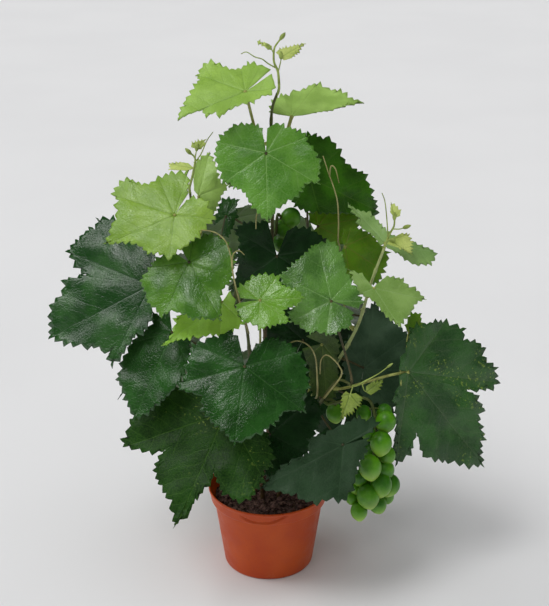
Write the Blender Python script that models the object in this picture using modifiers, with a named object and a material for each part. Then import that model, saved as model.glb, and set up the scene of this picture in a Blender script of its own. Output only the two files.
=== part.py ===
"""A potted artificial grapevine: a flared plastic pot, its soil, seven canes, leaves on petioles,
tendrils, young shoots and bunches of green grapes. Metres, +Z up, origin at the centre of the pot's
underside, and the side seen in the photograph towards -Y."""

import math
from collections import namedtuple

import bmesh
import bpy
from mathutils import Vector

MM = 0.001

# The pot, a 12 cm nursery pot
POT_HEIGHT = 85 * MM
POT_RIM_RADIUS = 61 * MM
POT_BAND_RADIUS = 58.5 * MM
POT_BAND_HEIGHT = 14 * MM
POT_WALL_TOP_RADIUS = 55 * MM
POT_BASE_RADIUS = 45 * MM
POT_BASE_ROUND = 3 * MM
POT_SHOULDER = 4 * MM
POT_LIP = 1 * MM
POT_WALL = 1.6 * MM
POT_STEPS = 36
SOIL_TOP = 73 * MM
GAP = 0.3 * MM
SOCKET_DEPTH = 12 * MM

# The plant
LEAF_THICKNESS = 0.8 * MM
PETIOLE_RADIUS = 1.1 * MM
PETIOLE_POINTS = 6
NODE_LENGTH = 4 * MM
CANE_RADIUS = 2.3 * MM
TENDRIL_RADIUS = 0.8 * MM
BRANCH_RADIUS = 0.64 * MM
SHOOT_RADII = (1.3 * MM, 0.8 * MM)
TWIG_RADII = (0.7 * MM, 0.5 * MM)
BUNCH_STALK_RADIUS = 1.5 * MM
PEDICEL_RADIUS = 0.9 * MM
PEDICEL_RISE = Vector((0, 0, 6 * MM))
BERRY_STRETCH = 1.06
CANE_STEP = 30 * MM
STALK_STEP = 14 * MM
BRANCH_STEP = 10 * MM
WELD = 0.01 * MM

# The photograph's view, in which the visible outlines were read: 549 x 606 pixels
EYE = Vector((0.006, -1.156, 0.750))
PITCH = math.radians(22)
FOCAL_PIXELS = 1300
MIDDLE_U, MIDDLE_V = 274.5, 303
MM_PER_PIXEL = 0.95 * MM

# Each cane's foot in mm, and its route above its socket: pixels with mm behind the pot's axis
CANES = {
    "main": ((0, 4), [
        (268, 420, 4), (265, 330, 0), (272, 240, 2), (271, 160, 4), (271, 126, 2), (272.5, 107, 0), (277.5, 93, 0)]),
    "left": ((-12, 2), [(248, 420, 12), (222, 330, 22), (204, 262, 20), (192, 205, 2), (190, 192, 0)]),
    "right": ((13, 2), [(298, 420, -2), (332, 370, -12), (357, 327, -20), (371, 283, -20), (385, 246, -20)]),
    "low_right": ((10, -12), [(296, 440, -24), (318, 406, -44), (337, 381, -56), (352, 385, -66)]),
    "front": ((-6, -13), [
        (262, 440, -24), (252, 380, -38), (247, 330, -52), (238, 300, -62), (234, 284, -66)]),
    "back_left": ((-9, 14), [(250, 420, 40), (232, 340, 68), (240, 262, 62), (246, 225, 50)]),
    "back_right": ((9, 15), [(290, 420, 44), (310, 340, 72), (312, 262, 66), (306, 218, 52)]),
}

Leaf = namedtuple("Leaf", "cane height seat behind facing tip fold cup wave colour outline")

LIGHT, MID, DARK, OLIVE = "light", "mid", "dark", "olive"

# Leaves seen in the photograph. height: mm at which the petiole leaves its cane. seat: the pixel where
# petiole and blade meet, and behind: mm behind the pot's axis there. facing: degrees of azimuth (to +X)
# and elevation. tip: the midrib's end. fold, cup and wave: mm of relief at the edge, away from the eye.
LEAVES = {
    "leaf_top_left": Leaf("main", 440, (245, 91), -14, (-18, 60), (177, 119), 5, 3, 2, LIGHT, [
        (271, 71), (262, 66), (254, 62.5), (247.5, 61.5), (241, 68), (230, 69.5), (220, 64), (212, 62),
        (204, 65), (195, 74), (200, 80), (194, 84), (190, 92), (186, 101), (181, 109), (177, 119),
        (188, 114.6), (197, 111), (202, 109.2), (205.5, 117), (216, 112.5), (219, 119), (228, 110),
        (243, 105), (254, 104.5), (262, 96), (268, 95.5), (271.5, 95.5), (276, 88), (272, 75)]),
    "leaf_top_right": Leaf("main", 432, (292, 116), 6, (8, 76), (364, 101.5), 0, 0, 2, LIGHT, [
        (287, 115.5), (270, 113.5), (269.5, 107), (271, 100), (281, 95.5), (289, 96), (293, 90.5),
        (300, 91), (311, 86), (319.5, 82), (331, 91), (340, 92), (347, 95), (354, 100), (364, 101.5),
        (354, 104), (345, 106), (333, 108.4), (322, 110.6), (310, 112.9), (300, 114.7)]),
    "leaf_top_centre": Leaf("main", 372, (266, 153), -34, (0, 28), (267.5, 222), 5, 4, 3, MID, [
        (265.6, 149.5), (262, 129.5), (258, 125), (252, 124), (242, 124), (234, 125), (228, 130), (220, 135),
        (217, 142), (214.5, 154), (218, 169), (222, 184), (230, 182), (233, 189), (241, 189),
        (248, 198), (252, 208), (262, 218), (267.5, 222), (273, 215), (283, 205), (298, 197),
        (303, 192), (304, 184), (312, 182), (320, 185), (319, 170), (321, 160), (312, 147),
        (306, 142), (310, 136), (300, 130), (292, 129), (284, 124), (276, 123), (267, 129)]),
    "leaf_upper_right": Leaf("back_right", 300, (310, 178), 24, (28, 24), (379, 212), 4, 6, 3, DARK, [
        (298, 172), (297, 158), (300, 143), (307, 132), (316, 134), (322, 139), (328, 136.5),
        (331, 142), (340, 149), (340, 156), (352, 168), (366, 174), (365, 180), (372, 190),
        (370, 195), (376, 201), (379, 212), (374, 220), (362, 215), (349, 214), (335, 214),
        (320, 214), (306, 212), (294, 207), (289, 196), (296, 186)]),
    "leaf_inner_right": Leaf("back_right", 275, (318, 226), 26, (10, 35), (350, 240), 2, 3, 2, DARK, [
        (309, 222), (309.5, 213), (314, 205), (322, 202), (334, 204), (350, 208), (362, 218),
        (358, 232), (350, 242), (338, 248), (318, 247), (306, 238)]),
    "leaf_centre_dark": Leaf("main", 285, (277, 256), -16, (0, 12), (276, 312), 3, 4, 3, DARK, [
        (287, 231), (296, 226), (310, 227), (318, 234), (326, 238), (331, 248), (328, 264),
        (318, 282), (303, 290), (290, 302), (276, 308), (262, 300), (250, 290), (228, 291),
        (238, 270), (236, 255), (240, 243), (233, 229), (243, 221), (254, 222), (262, 220), (268, 222)]),
    "leaf_centre_right": Leaf("low_right", 235, (331, 300.5), -62, (10, 36), (319, 243), 5, 4, 4, MID, [
        (345, 305), (358, 309), (364, 302), (357, 290), (351, 278), (344, 262), (342, 254),
        (335, 244), (327, 240), (318, 244), (311, 246), (303, 256), (292, 263), (279, 275),
        (281, 283), (297, 293), (302, 301), (288, 312), (290, 322), (305, 330), (310, 335),
        (316, 331), (326, 336), (336, 335), (341, 329), (347, 331), (352, 319), (354, 313), (343, 306.8)]),
    "leaf_centre_light": Leaf("front", 240, (260, 300), -84, (-6, 40), (305, 298), 3, 3, 3, LIGHT, [
        (241, 298.5), (237, 290), (240, 284), (250, 280), (252, 276), (266, 275), (279, 275),
        (279, 281), (286, 287), (295, 288), (305, 298), (297, 306), (283, 310), (291, 322),
        (282, 324), (270, 328), (259, 330), (250, 322), (244, 324), (236, 310), (235, 305), (241, 302.5)]),
    "leaf_right_olive": Leaf("right", 262, (345, 246), 8, (20, 25), (386, 272), 3, 3, 2, OLIVE, [
        (341, 240), (344, 230), (352, 227), (362, 228), (372, 234), (381, 245), (389, 252),
        (386, 262), (385, 272), (378, 284), (366, 285), (351, 281), (341, 273), (336, 259)]),
    "leaf_right_shoot": Leaf("right", 345, (385, 243), -4, (25, 52), (437, 253), 0, 0, 1, LIGHT, [
        (381, 245), (374, 237), (366, 230), (357, 223), (359, 218), (352, 211), (348, 201),
        (356, 209), (366, 213), (370, 212), (378, 221), (386, 232), (396, 237), (415, 243),
        (430, 250), (437, 253), (434, 261), (431, 266), (418, 267), (405, 260), (392, 251), (387, 248)]),
    "leaf_right_light": Leaf("right", 300, (374, 288), -42, (15, 42), (400, 327), 4, 2, 3, LIGHT, [
        (370.5, 284), (362, 274), (348, 268), (353, 281), (358, 295), (369, 298), (379, 307),
        (386, 317), (400, 327), (408, 318), (411, 312), (418, 301), (427, 300), (415, 288),
        (409, 287.5), (403, 279), (386, 277), (376, 284.5)]),
    "leaf_right_large": Leaf("low_right", 218, (409, 372), -37, (24, 14), (485, 467), 6, 6, 4, DARK, [
        (398, 369.5), (400, 357), (405, 352), (406, 343), (409, 328), (416, 323), (425, 324),
        (434, 320), (447, 320), (464, 328), (462, 340), (474, 339.5), (484, 347), (482, 355),
        (497, 367), (499, 382), (493, 389), (476, 391), (461, 387.5), (477, 396), (485, 410),
        (478, 414), (484, 439), (480, 448), (485, 467), (468, 467), (448, 463), (434, 460),
        (423, 456), (420, 449), (416.5, 432), (410, 454), (396, 466), (392, 458), (396, 425),
        (391, 400), (399.5, 386), (398, 374.5)]),
    "leaf_right_shade": Leaf("right", 232, (364, 368), -8, (15, 26), (375, 301), 3, 4, 3, DARK, [
        (359.8, 392), (366, 400), (380, 406), (392, 410), (402, 396), (407, 372), (410, 352),
        (411, 334), (398, 327), (386, 314), (375, 301), (367, 308), (354, 326), (345, 342),
        (341, 352), (343, 372), (347, 386), (358.4, 392)]),
    "leaf_low_right": Leaf("low_right", 195, (343, 445), -102, (8, 34), (258, 489), 5, 4, 3, DARK, [
        (356, 439.5), (372, 431.5), (380, 423), (374, 418), (366, 421), (359, 416), (344, 424), (333, 429),
        (316, 436), (307, 438), (309, 453), (303, 456), (292, 460), (281, 466), (275, 474),
        (268, 481), (258, 489), (274, 491), (288, 494), (304, 500), (316, 505), (322, 500),
        (338, 502), (346, 500), (353, 490), (355, 475), (366.5, 451), (369, 437.5), (357, 440.8)]),
    "leaf_low_dark": Leaf("front", 130, (270, 434), -72, (0, 34), (268, 482), 3, 3, 2, DARK, [
        (266, 424), (276, 420), (283, 411), (292, 408), (304, 396.5), (309, 391.5),
        (315, 396), (318, 402), (322, 410), (321, 420), (318, 429), (314, 436), (311, 444),
        (308, 455), (296, 462), (285, 468), (275, 478), (267, 480), (261, 462), (261, 430)]),
    "leaf_centre_large": Leaf("front", 215, (244.5, 366.5), -106, (0, 36), (234, 447), 6, 5, 4, DARK, [
        (250, 355), (256, 344), (266, 338), (278, 338), (290, 344), (301, 352), (309, 371),
        (309, 387), (304, 400), (306, 413), (290, 411), (283, 412), (275, 426), (264, 430),
        (261, 434.5), (246, 439), (234, 447), (229, 437), (216, 427), (200, 411), (203, 397),
        (193, 393), (180, 390), (178, 384), (187, 373), (184, 366), (190, 354), (191, 343),
        (212, 338), (224, 334), (231, 331), (238, 336), (243, 358)]),
    "leaf_left_light_low": Leaf("left", 262, (222, 302), -44, (-15, 66), (162, 347), 0, 1, 2, LIGHT, [
        (230, 292), (235, 301), (238, 316), (244, 323), (233, 332), (220, 337), (204, 338),
        (190, 341), (176, 340), (162, 347), (173, 334), (174, 321), (182, 312), (192, 304), (210, 292)]),
    "leaf_left_shade": Leaf("left", 225, (172, 332), -58, (-22, 34), (133, 421), 5, 4, 3, DARK, [
        (180, 323), (190, 332), (192, 350), (188, 365), (182, 382), (172, 392), (160, 405),
        (148, 415), (133, 421), (130, 408), (124, 400), (123, 387), (117, 380), (120, 364),
        (132, 343), (137, 333), (144, 332), (153, 324), (150, 309), (160, 317), (170, 309)]),
    "leaf_left_large": Leaf("left", 270, (150, 285), -40, (-24, 34), (49, 338), 6, 6, 4, DARK, [
        (156, 276), (157, 262), (152, 250), (140, 236), (126, 224), (114, 217), (97, 218),
        (96, 230), (90, 228), (85, 235), (76, 240), (66, 251), (74, 266), (82, 273), (93, 276.5),
        (80, 275), (63, 280), (66, 286), (52, 306), (49, 325), (49, 338), (66, 345), (88, 349),
        (100, 347), (105, 353), (111, 351), (107, 359), (110, 367), (119, 361), (131, 345),
        (137, 333), (144, 336), (153, 320), (152.5, 308), (156, 292)]),
    "leaf_left_mid": Leaf("left", 300, (189, 262), -72, (-8, 38), (221, 321), 5, 4, 4, MID, [
        (187.2, 260.8), (174.5, 252.5), (170.5, 256.5), (164, 256), (156, 257), (149, 268), (141, 281), (144, 291),
        (149, 303), (158, 313), (161, 318), (171, 310), (180, 313), (193, 320), (208, 320),
        (221, 321), (221, 303), (222, 290), (233, 280), (232, 272), (236, 262), (232, 252),
        (229, 243), (212, 232), (204, 233), (200, 240), (194, 236), (191, 243), (181, 248.5)]),
    "leaf_left_light": Leaf("left", 360, (174.5, 215), -58, (-10, 44), (105, 245), 5, 4, 4, LIGHT, [
        (180, 208.5), (187, 201), (193, 196), (209, 203), (216, 219), (206, 228), (200, 231),
        (200, 238), (184, 248), (173, 255), (169, 260), (164, 255), (148, 254), (137, 244),
        (115, 243), (105, 245), (112, 228), (118, 211), (114, 206), (119, 201), (111, 194),
        (120, 182), (127, 179), (142, 185), (155, 181), (158, 176), (172, 172), (188, 170),
        (189, 180), (188, 192), (178.5, 209)]),
    "leaf_left_behind": Leaf("left", 345, (198.5, 196), 24, (8, 30), (210, 150), 3, 3, 2, LIGHT, [
        (194, 190), (193, 175), (194, 163), (201, 157), (206, 155), (210, 150), (213, 158),
        (219, 175), (221, 183), (231, 183), (227, 190), (221, 196), (219, 206), (214, 214),
        (206, 210), (199, 203)]),
    "leaf_inner_left": Leaf("left", 318, (226, 216), 8, (0, 28), (229, 238), 2, 2, 2, DARK, [
        (218, 222), (213, 226), (216, 215), (219, 205), (222, 198), (229, 196), (239, 199),
        (236, 208), (238, 217), (233, 226), (229, 238), (222, 235)]),
    "leaf_low_left": Leaf("front", 165, (226, 412), -84, (-14, 38), (175, 528.5), 6, 4, 4, DARK, [
        (234, 404), (250, 407), (262, 420), (268, 434), (275, 458), (274, 468), (264, 470),
        (265, 482), (251, 500), (240, 503), (223, 495), (217, 482), (214, 472), (210.5, 486),
        (205, 488), (198, 500), (194.5, 498), (187, 517), (179, 520), (175, 528.5), (171, 509),
        (173, 501), (167, 498), (159, 484), (154, 471), (159, 457), (168, 449), (153, 454),
        (124, 447), (122, 440), (131, 426), (131, 420), (140, 411), (137, 408), (151, 403),
        (148, 393), (155, 387), (165, 382), (180, 389), (195, 393), (218, 402)]),
    "leaf_centre_inner": Leaf("low_right", 178, (322, 344), -22, (5, 12), (327, 404), 2, 2, 2, OLIVE, [
        (306, 336), (318, 330), (336, 334), (340, 345), (338, 362), (339, 385), (336, 397), (327, 404),
        (315, 402), (310, 388), (309, 372), (306, 360), (302, 348)]),
    "leaf_inner_mid": Leaf("back_right", 205, (303, 340), 34, (4, 16), (300, 402), 3, 3, 2, DARK, [
        (277, 385), (268, 366), (262, 348), (264, 330), (272, 314), (288, 306), (303, 318),
        (318, 312), (332, 308), (348, 318), (355, 338), (350, 358), (342, 378), (330, 392),
        (318, 398), (300, 402), (286, 396), (280, 388.5)]),
    "leaf_inner_low": Leaf("right", 200, (352, 396), 6, (4, 18), (350, 452), 3, 3, 2, DARK, [
        (332, 447), (318, 437), (314, 422), (314, 404), (321, 388), (333, 374), (346, 371),
        (357, 376), (368, 384), (382, 388), (392, 400), (394, 416), (388, 432), (376, 444),
        (364, 450), (350, 452), (337, 449)]),
    "leaf_right_behind": Leaf("back_right", 240, (414, 340), 24, (35, 30), (421, 313), 2, 2, 1, OLIVE, [
        (408, 336), (405, 325), (411, 312), (421, 313), (421, 322), (432, 330), (430, 345), (418, 352)]),
}

BackLeaf = namedtuple("BackLeaf", "cane height seat facing turn mould size colour")

# Leaves out of the photograph's sight. seat: mm. turn: degrees by which the tip leans from straight
# down. mould: the seen leaf whose outline it repeats, and size: its scale.
BACK_LEAVES = {
    "leaf_back_top": BackLeaf(
        "main", 395, (0, 58, 405), (188, 38), 0, "leaf_top_centre", 0.9, LIGHT),
    "leaf_back_top_left": BackLeaf(
        "main", 350, (-34, 52, 352), (205, 34), -14, "leaf_left_mid", 0.95, MID),
    "leaf_back_upper": BackLeaf(
        "back_right", 315, (48, 104, 318), (158, 36), 12, "leaf_centre_large", 0.85, MID),
    "leaf_back_left_upper": BackLeaf(
        "back_left", 300, (-80, 84, 292), (222, 34), -18, "leaf_top_centre", 1.1, DARK),
    "leaf_back_middle": BackLeaf(
        "back_left", 250, (-14, 132, 252), (186, 36), 6, "leaf_centre_right", 1.1, MID),
    "leaf_back_right": BackLeaf(
        "back_right", 250, (108, 78, 236), (132, 36), 16, "leaf_left_mid", 1.15, DARK),
    "leaf_back_left": BackLeaf(
        "back_left", 215, (-112, 60, 204), (236, 36), -14, "leaf_centre_large", 0.95, DARK),
    "leaf_back_low_right": BackLeaf(
        "back_right", 190, (74, 124, 176), (152, 40), 8, "leaf_centre_large", 0.95, DARK),
    "leaf_back_low_left": BackLeaf(
        "back_left", 165, (-58, 118, 160), (206, 40), -8, "leaf_top_centre", 1.15, DARK),
    "leaf_back_low": BackLeaf(
        "back_right", 130, (8, 104, 118), (180, 44), 0, "leaf_left_mid", 0.95, MID),
}

# Tendrils: the cane and mm of height they leave it at, then their run and its branches: pixels with
# mm behind the axis
TENDRILS = {
    "tendril_upper_right": ("main", 300, [
        [(334, 256, 6), (338, 238, 2), (338, 207, -2), (334.5, 190, -4), (328, 171.5, -6), (323, 156, -8)],
        [(329.5, 176, -5), (331, 166, -8), (335.5, 169, -10), (339, 183, -10)]]),
    "tendril_left": ("front", 278, [
        [(236, 288, -84), (232.5, 270, -88), (231, 257, -88), (226, 242, -88), (218, 234, -88),
         (210, 231, -88), (201, 230, -86)],
        [(232.5, 270, -88), (232.5, 256, -90), (236, 251.5, -92), (240, 251, -94), (244.5, 255, -94)]]),
    "tendril_arch": ("low_right", 190, [
        [(317, 396, -44), (317, 374, -52), (315, 356, -58), (308, 345, -60), (296, 341, -62),
         (282, 347, -62)]]),
    "tendril_low": ("low_right", 210, [
        [(341, 376, -66), (339, 366, -68), (332, 358, -70), (326, 355, -68), (321, 360, -66),
         (320, 374, -64)]]),
    "tendril_centre": ("main", 385, [
        [(262, 208, -16), (257, 214, -22), (256, 222, -24), (256, 229, -24)]]),
}

Leaflet = namedtuple("Leaflet", "seat behind facing tip outline")

# Young shoots: the cane they end, their stem and its twigs, in pixels with mm behind the axis, and
# small leaves. A stem's first point only stands for the cane's end.
SHOOTS = {
    "shoot_top": ("main", [
        [(278, 88, 0), (278, 72, 0), (274, 62, 0), (274, 50, 0), (276, 45, 0), (282, 37, 0)],
        [(278, 73, 0), (281, 60, -3), (281, 56, -4)],
        [(274, 54, 0), (272, 50, 0), (269, 47, 0)],
        [(276, 68, 0), (268, 63.5, -2), (262, 59, -4), (255, 57, -6), (246.5, 52, -8), (241, 54, -10)]], [
        Leaflet((281, 57), -4, (10, 40), (305, 43), [
            (276, 52), (280, 48), (286, 46), (296, 45), (305, 43), (299, 52), (292, 58), (284, 60)]),
        Leaflet((270, 48), 0, (-20, 50), (257, 42), [
            (268, 50), (264, 46), (257, 42), (264, 42), (272, 46)])]),
    "shoot_left": ("left", [
        [(190, 191, 0), (192, 178, 0), (194, 168, 0), (195, 158, 0), (189, 152, 0)],
        [(195, 158, 0), (197, 148, -2)],
        [(194.5, 163, 0), (201, 154, -4), (207, 140.5, -6), (213, 132, -8)]], [
        Leaflet((197, 149), -2, (0, 40), (205, 139), [
            (191, 147), (192, 142), (198, 140), (205, 139), (206, 143), (201, 149)]),
        Leaflet((194, 168), -0.5, (-12, 60), (169, 164), [
            (186, 171), (170, 170), (169, 164), (180, 162), (188, 163)])]),
    "shoot_right": ("right", [
        [(386, 245, -20), (389, 235, -20), (394, 226, -20), (394.5, 217, -20)],
        [(393, 229, -20), (400, 229, -22), (406, 227, -23)],
        [(387, 240, -20), (391, 240, -22)],
        [(388, 238, -20), (387, 221, -24), (385, 202, -28), (382, 193, -30)]], [
        Leaflet((394.5, 218), -20, (0, 30), (391, 202), [
            (400, 216), (401, 210), (396, 206), (391, 202), (390, 212)]),
        Leaflet((390, 240), -22, (20, 40), (412, 255), [
            (387, 244), (398, 248), (406, 251), (412, 255), (413, 242), (410, 234), (402, 233),
            (394, 237)])]),
    "shoot_low": ("low_right", [
        [(351.5, 386.5, -66), (363, 382, -72), (378, 374, -78), (389, 366, -82)],
        [(353, 386, -67), (351, 392, -70), (350, 396, -71)],
        [(362, 382.5, -72), (364, 390, -74), (367, 392, -75)]], [
        Leaflet((350, 394), -71, (0, 32), (341, 420), [
            (356, 393), (363, 398), (360, 406), (352, 414), (341, 420), (341, 405), (341, 396), (346, 391)]),
        Leaflet((366, 392), -75, (0, 40), (384, 379), [
            (371, 395), (380, 389), (384, 379), (374, 381), (366, 386)])]),
}

# Bunches: the cane and mm of height of the stalk, the stalk's pixels with mm behind the axis, then
# each berry's pixel, mm behind the axis and radius in pixels
BUNCHES = {
    "grapes_low_right": ("low_right", 202, [
        (364, 398, -62), (374, 412, -68), (375, 440, -74), (373, 470, -76), (368, 496, -78)], [
        (385.5, 421.6, -70, 10.5), (384, 412, -63, 8), (381, 443, -80, 11), (386.5, 455, -70, 9),
        (370, 467, -88, 11.5), (384.5, 470, -73, 10), (381, 485, -82, 11), (390, 485, -72, 10),
        (368, 496, -86, 11.5), (377.5, 504, -77, 9), (359, 511, -84, 8.5), (352, 498, -76, 6.5),
        (360, 478, -78, 8), (355, 487, -74, 6.5), (364, 414, -64, 8), (369, 434, -72, 7),
        (372, 453, -60, 9), (383, 460, -60, 7.5), (369, 481, -64, 9), (386, 496, -66, 8)]),
    "grapes_inner": ("low_right", 205, [(335, 402, -44), (335, 410, -40)], [(335, 413, -40, 9)]),
    "grapes_top": ("main", 350, [(278, 214, 12), (283, 224, 15), (282, 236, 15)], [
        (290.5, 218.5, 17, 10.3), (283.5, 230, 15, 9.5), (281, 243, 15, 8.5)]),
}

COLOURS = {
    LIGHT: (0.21, 0.43, 0.09),
    MID: (0.06, 0.20, 0.035),
    DARK: (0.02, 0.085, 0.025),
    OLIVE: (0.09, 0.17, 0.02),
    "pot": (0.42, 0.08, 0.03),
    "soil": (0.03, 0.015, 0.01),
    "cane": (0.12, 0.09, 0.03),
    "tendril": (0.45, 0.38, 0.17),
    "shoot": (0.30, 0.38, 0.12),
    "grape": (0.08, 0.22, 0.03),
}


def clear_scene():
    for obj in list(bpy.data.objects):
        bpy.data.objects.remove(obj)


def new_collection(name):
    collection = bpy.data.collections.new(name)
    bpy.context.scene.collection.children.link(collection)
    return collection


def plastic(name, roughness):
    material = bpy.data.materials.new(name)
    material.use_nodes = True
    shader = material.node_tree.nodes["Principled BSDF"]
    shader.inputs["Base Color"].default_value = (*COLOURS[name], 1)
    shader.inputs["Roughness"].default_value = roughness
    shader.inputs["Metallic"].default_value = 0
    return material


def ray(u, v):
    """The direction of a pixel's line of sight, one unit deep."""
    right = (u - MIDDLE_U) / FOCAL_PIXELS
    up = (MIDDLE_V - v) / FOCAL_PIXELS
    return Vector((right,
                   math.cos(PITCH) + up * math.sin(PITCH),
                   up * math.cos(PITCH) - math.sin(PITCH)))


def at_pixel(u, v, behind):
    """The point on a pixel's line of sight that lies that many mm behind the pot's axis."""
    way = ray(u, v)
    return EYE + way * ((behind * MM - EYE.y) / way.y)


def facing_way(azimuth, elevation):
    """A unit vector: azimuth 0 faces -Y and turns towards +X."""
    turn, rise = math.radians(azimuth), math.radians(elevation)
    return Vector((math.sin(turn) * math.cos(rise), -math.cos(turn) * math.cos(rise), math.sin(rise)))


def smooth_route(points, step):
    """Points about a step apart on the Catmull-Rom curve through these points."""
    ends = [points[0] * 2 - points[1]] + list(points) + [points[-1] * 2 - points[-2]]
    route = []
    for a, b, c, d in zip(ends, ends[1:], ends[2:], ends[3:]):
        count = max(1, round((c - b).length / step))
        for i in range(count):
            t = i / count
            route.append(0.5 * (2 * b + (c - a) * t + (2 * a - 5 * b + 4 * c - d) * t ** 2
                                + (3 * b - 3 * c + d - a) * t ** 3))
    return route + [points[-1]]


def cane_route(name):
    (x, y), bends = CANES[name]
    foot = Vector((x * MM, y * MM, SOIL_TOP))
    below = foot - Vector((0, 0, SOCKET_DEPTH - GAP))
    above = foot + Vector((0, 0, NODE_LENGTH))
    return [below] + smooth_route([above] + [at_pixel(*bend) for bend in bends], CANE_STEP)


def cane_at(name, height):
    """The point on a cane's axis at this height in mm, and the cane's direction there."""
    route = cane_route(name)
    for low, high in zip(route, route[1:]):
        if high.z >= height * MM:
            share = (height * MM - low.z) / (high.z - low.z)
            return low.lerp(high, share), (high - low).normalized()
    return cane_end(name)


def cane_end(name):
    """The last point of a cane's axis, and the cane's direction there."""
    route = cane_route(name)
    return route[-1], (route[-1] - route[-2]).normalized()


def stalk_base(cane, height, towards):
    """Two points square off a cane's side, the first just clear of it."""
    axis, along = cane_at(cane, height)
    out = towards - axis
    out = (out - along * out.dot(along)).normalized()
    clear = CANE_RADIUS + GAP
    return [axis + out * clear, axis + out * (clear + NODE_LENGTH)]


def bezier(start, lean, reach, end, count):
    points = []
    for i in range(count):
        t = i / (count - 1)
        points.append(start * (1 - t) ** 3 + lean * 3 * t * (1 - t) ** 2
                      + reach * 3 * t ** 2 * (1 - t) + end * t ** 3)
    return points


def petiole_route(cane, height, seat, back):
    """From the cane's side to the blade's underside."""
    foot, clear = stalk_base(cane, height, seat)
    length = (seat - clear).length
    lean = clear + (clear - foot).normalized() * length * 0.16
    reach = seat + (back * 0.75 * (1 + back.z) + (clear - seat).normalized() * 0.65) * length * 0.35
    return [foot] + bezier(clear, lean, reach, seat + back * LEAF_THICKNESS * 0.4, PETIOLE_POINTS)


def tube(name, route, radius, home, sides_level=1):
    """A POLY curve with filled caps, made a mesh. radius is one number, or one for each end."""
    start, end = radius if isinstance(radius, tuple) else (radius, radius)
    data = bpy.data.curves.new(name, "CURVE")
    data.dimensions = "3D"
    data.bevel_depth = 1
    data.bevel_resolution = sides_level
    data.use_fill_caps = True
    spline = data.splines.new("POLY")
    spline.points.add(len(route) - 1)
    for i, point in enumerate(route):
        spline.points[i].co = (*point, 1)
        spline.points[i].radius = start + (end - start) * i / (len(route) - 1)
    curve = bpy.data.objects.new(name, data)
    home.objects.link(curve)
    bpy.context.view_layer.update()
    evaluated = curve.evaluated_get(bpy.context.evaluated_depsgraph_get())
    mesh = bpy.data.meshes.new_from_object(evaluated)
    bpy.data.objects.remove(curve)
    welded = bmesh.new()
    welded.from_mesh(mesh)
    bmesh.ops.remove_doubles(welded, verts=welded.verts, dist=WELD)
    bmesh.ops.recalc_face_normals(welded, faces=welded.faces)
    welded.to_mesh(mesh)
    welded.free()
    made = bpy.data.objects.new(name, mesh)
    home.objects.link(made)
    return made


def blade_mesh(name, outline, seat, place):
    """A fan of triangles from the seat to the outline, whose ends meet at the petiole's slot."""
    sheet = bmesh.new()
    columns = len(outline) - 1
    bmesh.ops.create_grid(sheet, x_segments=columns, y_segments=1, size=0.5)
    for vertex in sheet.verts:
        edge = outline[round((vertex.co.x + 0.5) * columns)]
        share = vertex.co.y + 0.5
        vertex.co = place(seat[0] + (edge[0] - seat[0]) * share, seat[1] + (edge[1] - seat[1]) * share)
    bmesh.ops.remove_doubles(sheet, verts=sheet.verts, dist=WELD)
    mesh = bpy.data.meshes.new(name)
    sheet.to_mesh(mesh)
    sheet.free()
    return mesh


def relief(leaf, u, v):
    """How far the blade bends away from the plane through its seat, in metres."""
    from_seat = Vector((u - leaf.seat[0], v - leaf.seat[1]))
    midrib = Vector((leaf.tip[0] - leaf.seat[0], leaf.tip[1] - leaf.seat[1]))
    across = abs(from_seat.cross(midrib)) / midrib.length ** 2
    out = from_seat.length / midrib.length
    turn = math.atan2(from_seat.y, from_seat.x)
    return (leaf.fold * across + leaf.cup * out ** 2 + leaf.wave * out ** 2 * math.sin(3 * turn)) * MM


def seen_place(leaf):
    """The function that lays a pixel of a seen leaf's outline on its blade, the blade's seat and its
    normal, towards the eye."""
    seat = at_pixel(*leaf.seat, leaf.behind)
    normal = facing_way(*leaf.facing)
    depth = (seat - EYE).dot(normal)

    def place(u, v):
        way = ray(u, v)
        flat = EYE + way * (depth / way.dot(normal))
        return flat + way.normalized() * relief(leaf, u, v)

    return place, seat, normal


def back_place(leaf):
    """As seen_place, for a leaf that repeats a seen leaf's outline on the far side."""
    mould = LEAVES[leaf.mould]
    seat = Vector(leaf.seat) * MM
    normal = facing_way(*leaf.facing)
    side = Vector((0, 0, 1)).cross(normal).normalized()
    rise = normal.cross(side)
    down = Vector((mould.tip[0] - mould.seat[0], mould.tip[1] - mould.seat[1])).normalized()
    turn = math.radians(leaf.turn)
    tip_way = side * math.sin(turn) - rise * math.cos(turn)
    side_way = normal.cross(tip_way)

    def place(u, v):
        offset = Vector((u - mould.seat[0], v - mould.seat[1])) * MM_PER_PIXEL * leaf.size
        flat = seat + tip_way * offset.dot(down) + side_way * down.cross(offset)
        return flat - normal * relief(mould, u, v)

    return place, seat, normal


def unite(body, pieces):
    """Joins the pieces to the body. The EXACT solver gave an empty result on two of the thin blades."""
    for piece in pieces:
        piece.hide_render = True
        piece.display_type = "WIRE"
        joining = body.modifiers.new("Joined " + piece.name, "BOOLEAN")
        joining.operation = "UNION"
        joining.solver = "MANIFOLD"
        joining.object = piece
    return body


def thicken(blade):
    shell = blade.modifiers.new("Thickness", "SOLIDIFY")
    shell.thickness = LEAF_THICKNESS
    shell.offset = 0
    return blade


def finished(obj, material, flat=False):
    obj.data.materials.clear()
    obj.data.materials.append(material)
    if not flat:
        obj.data.shade_smooth()
    return obj


def add_leaf(name, leaf, mould, placing, material, home, helpers):
    place, seat, normal = placing
    mesh = blade_mesh(name, mould.outline, mould.seat, place)
    blade = bpy.data.objects.new(name, mesh)
    home.objects.link(blade)
    finished(thicken(blade), material)
    route = petiole_route(leaf.cane, leaf.height, seat, -normal)
    petiole = tube(name + "_petiole", route, PETIOLE_RADIUS, helpers)
    return unite(blade, [petiole])


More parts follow.
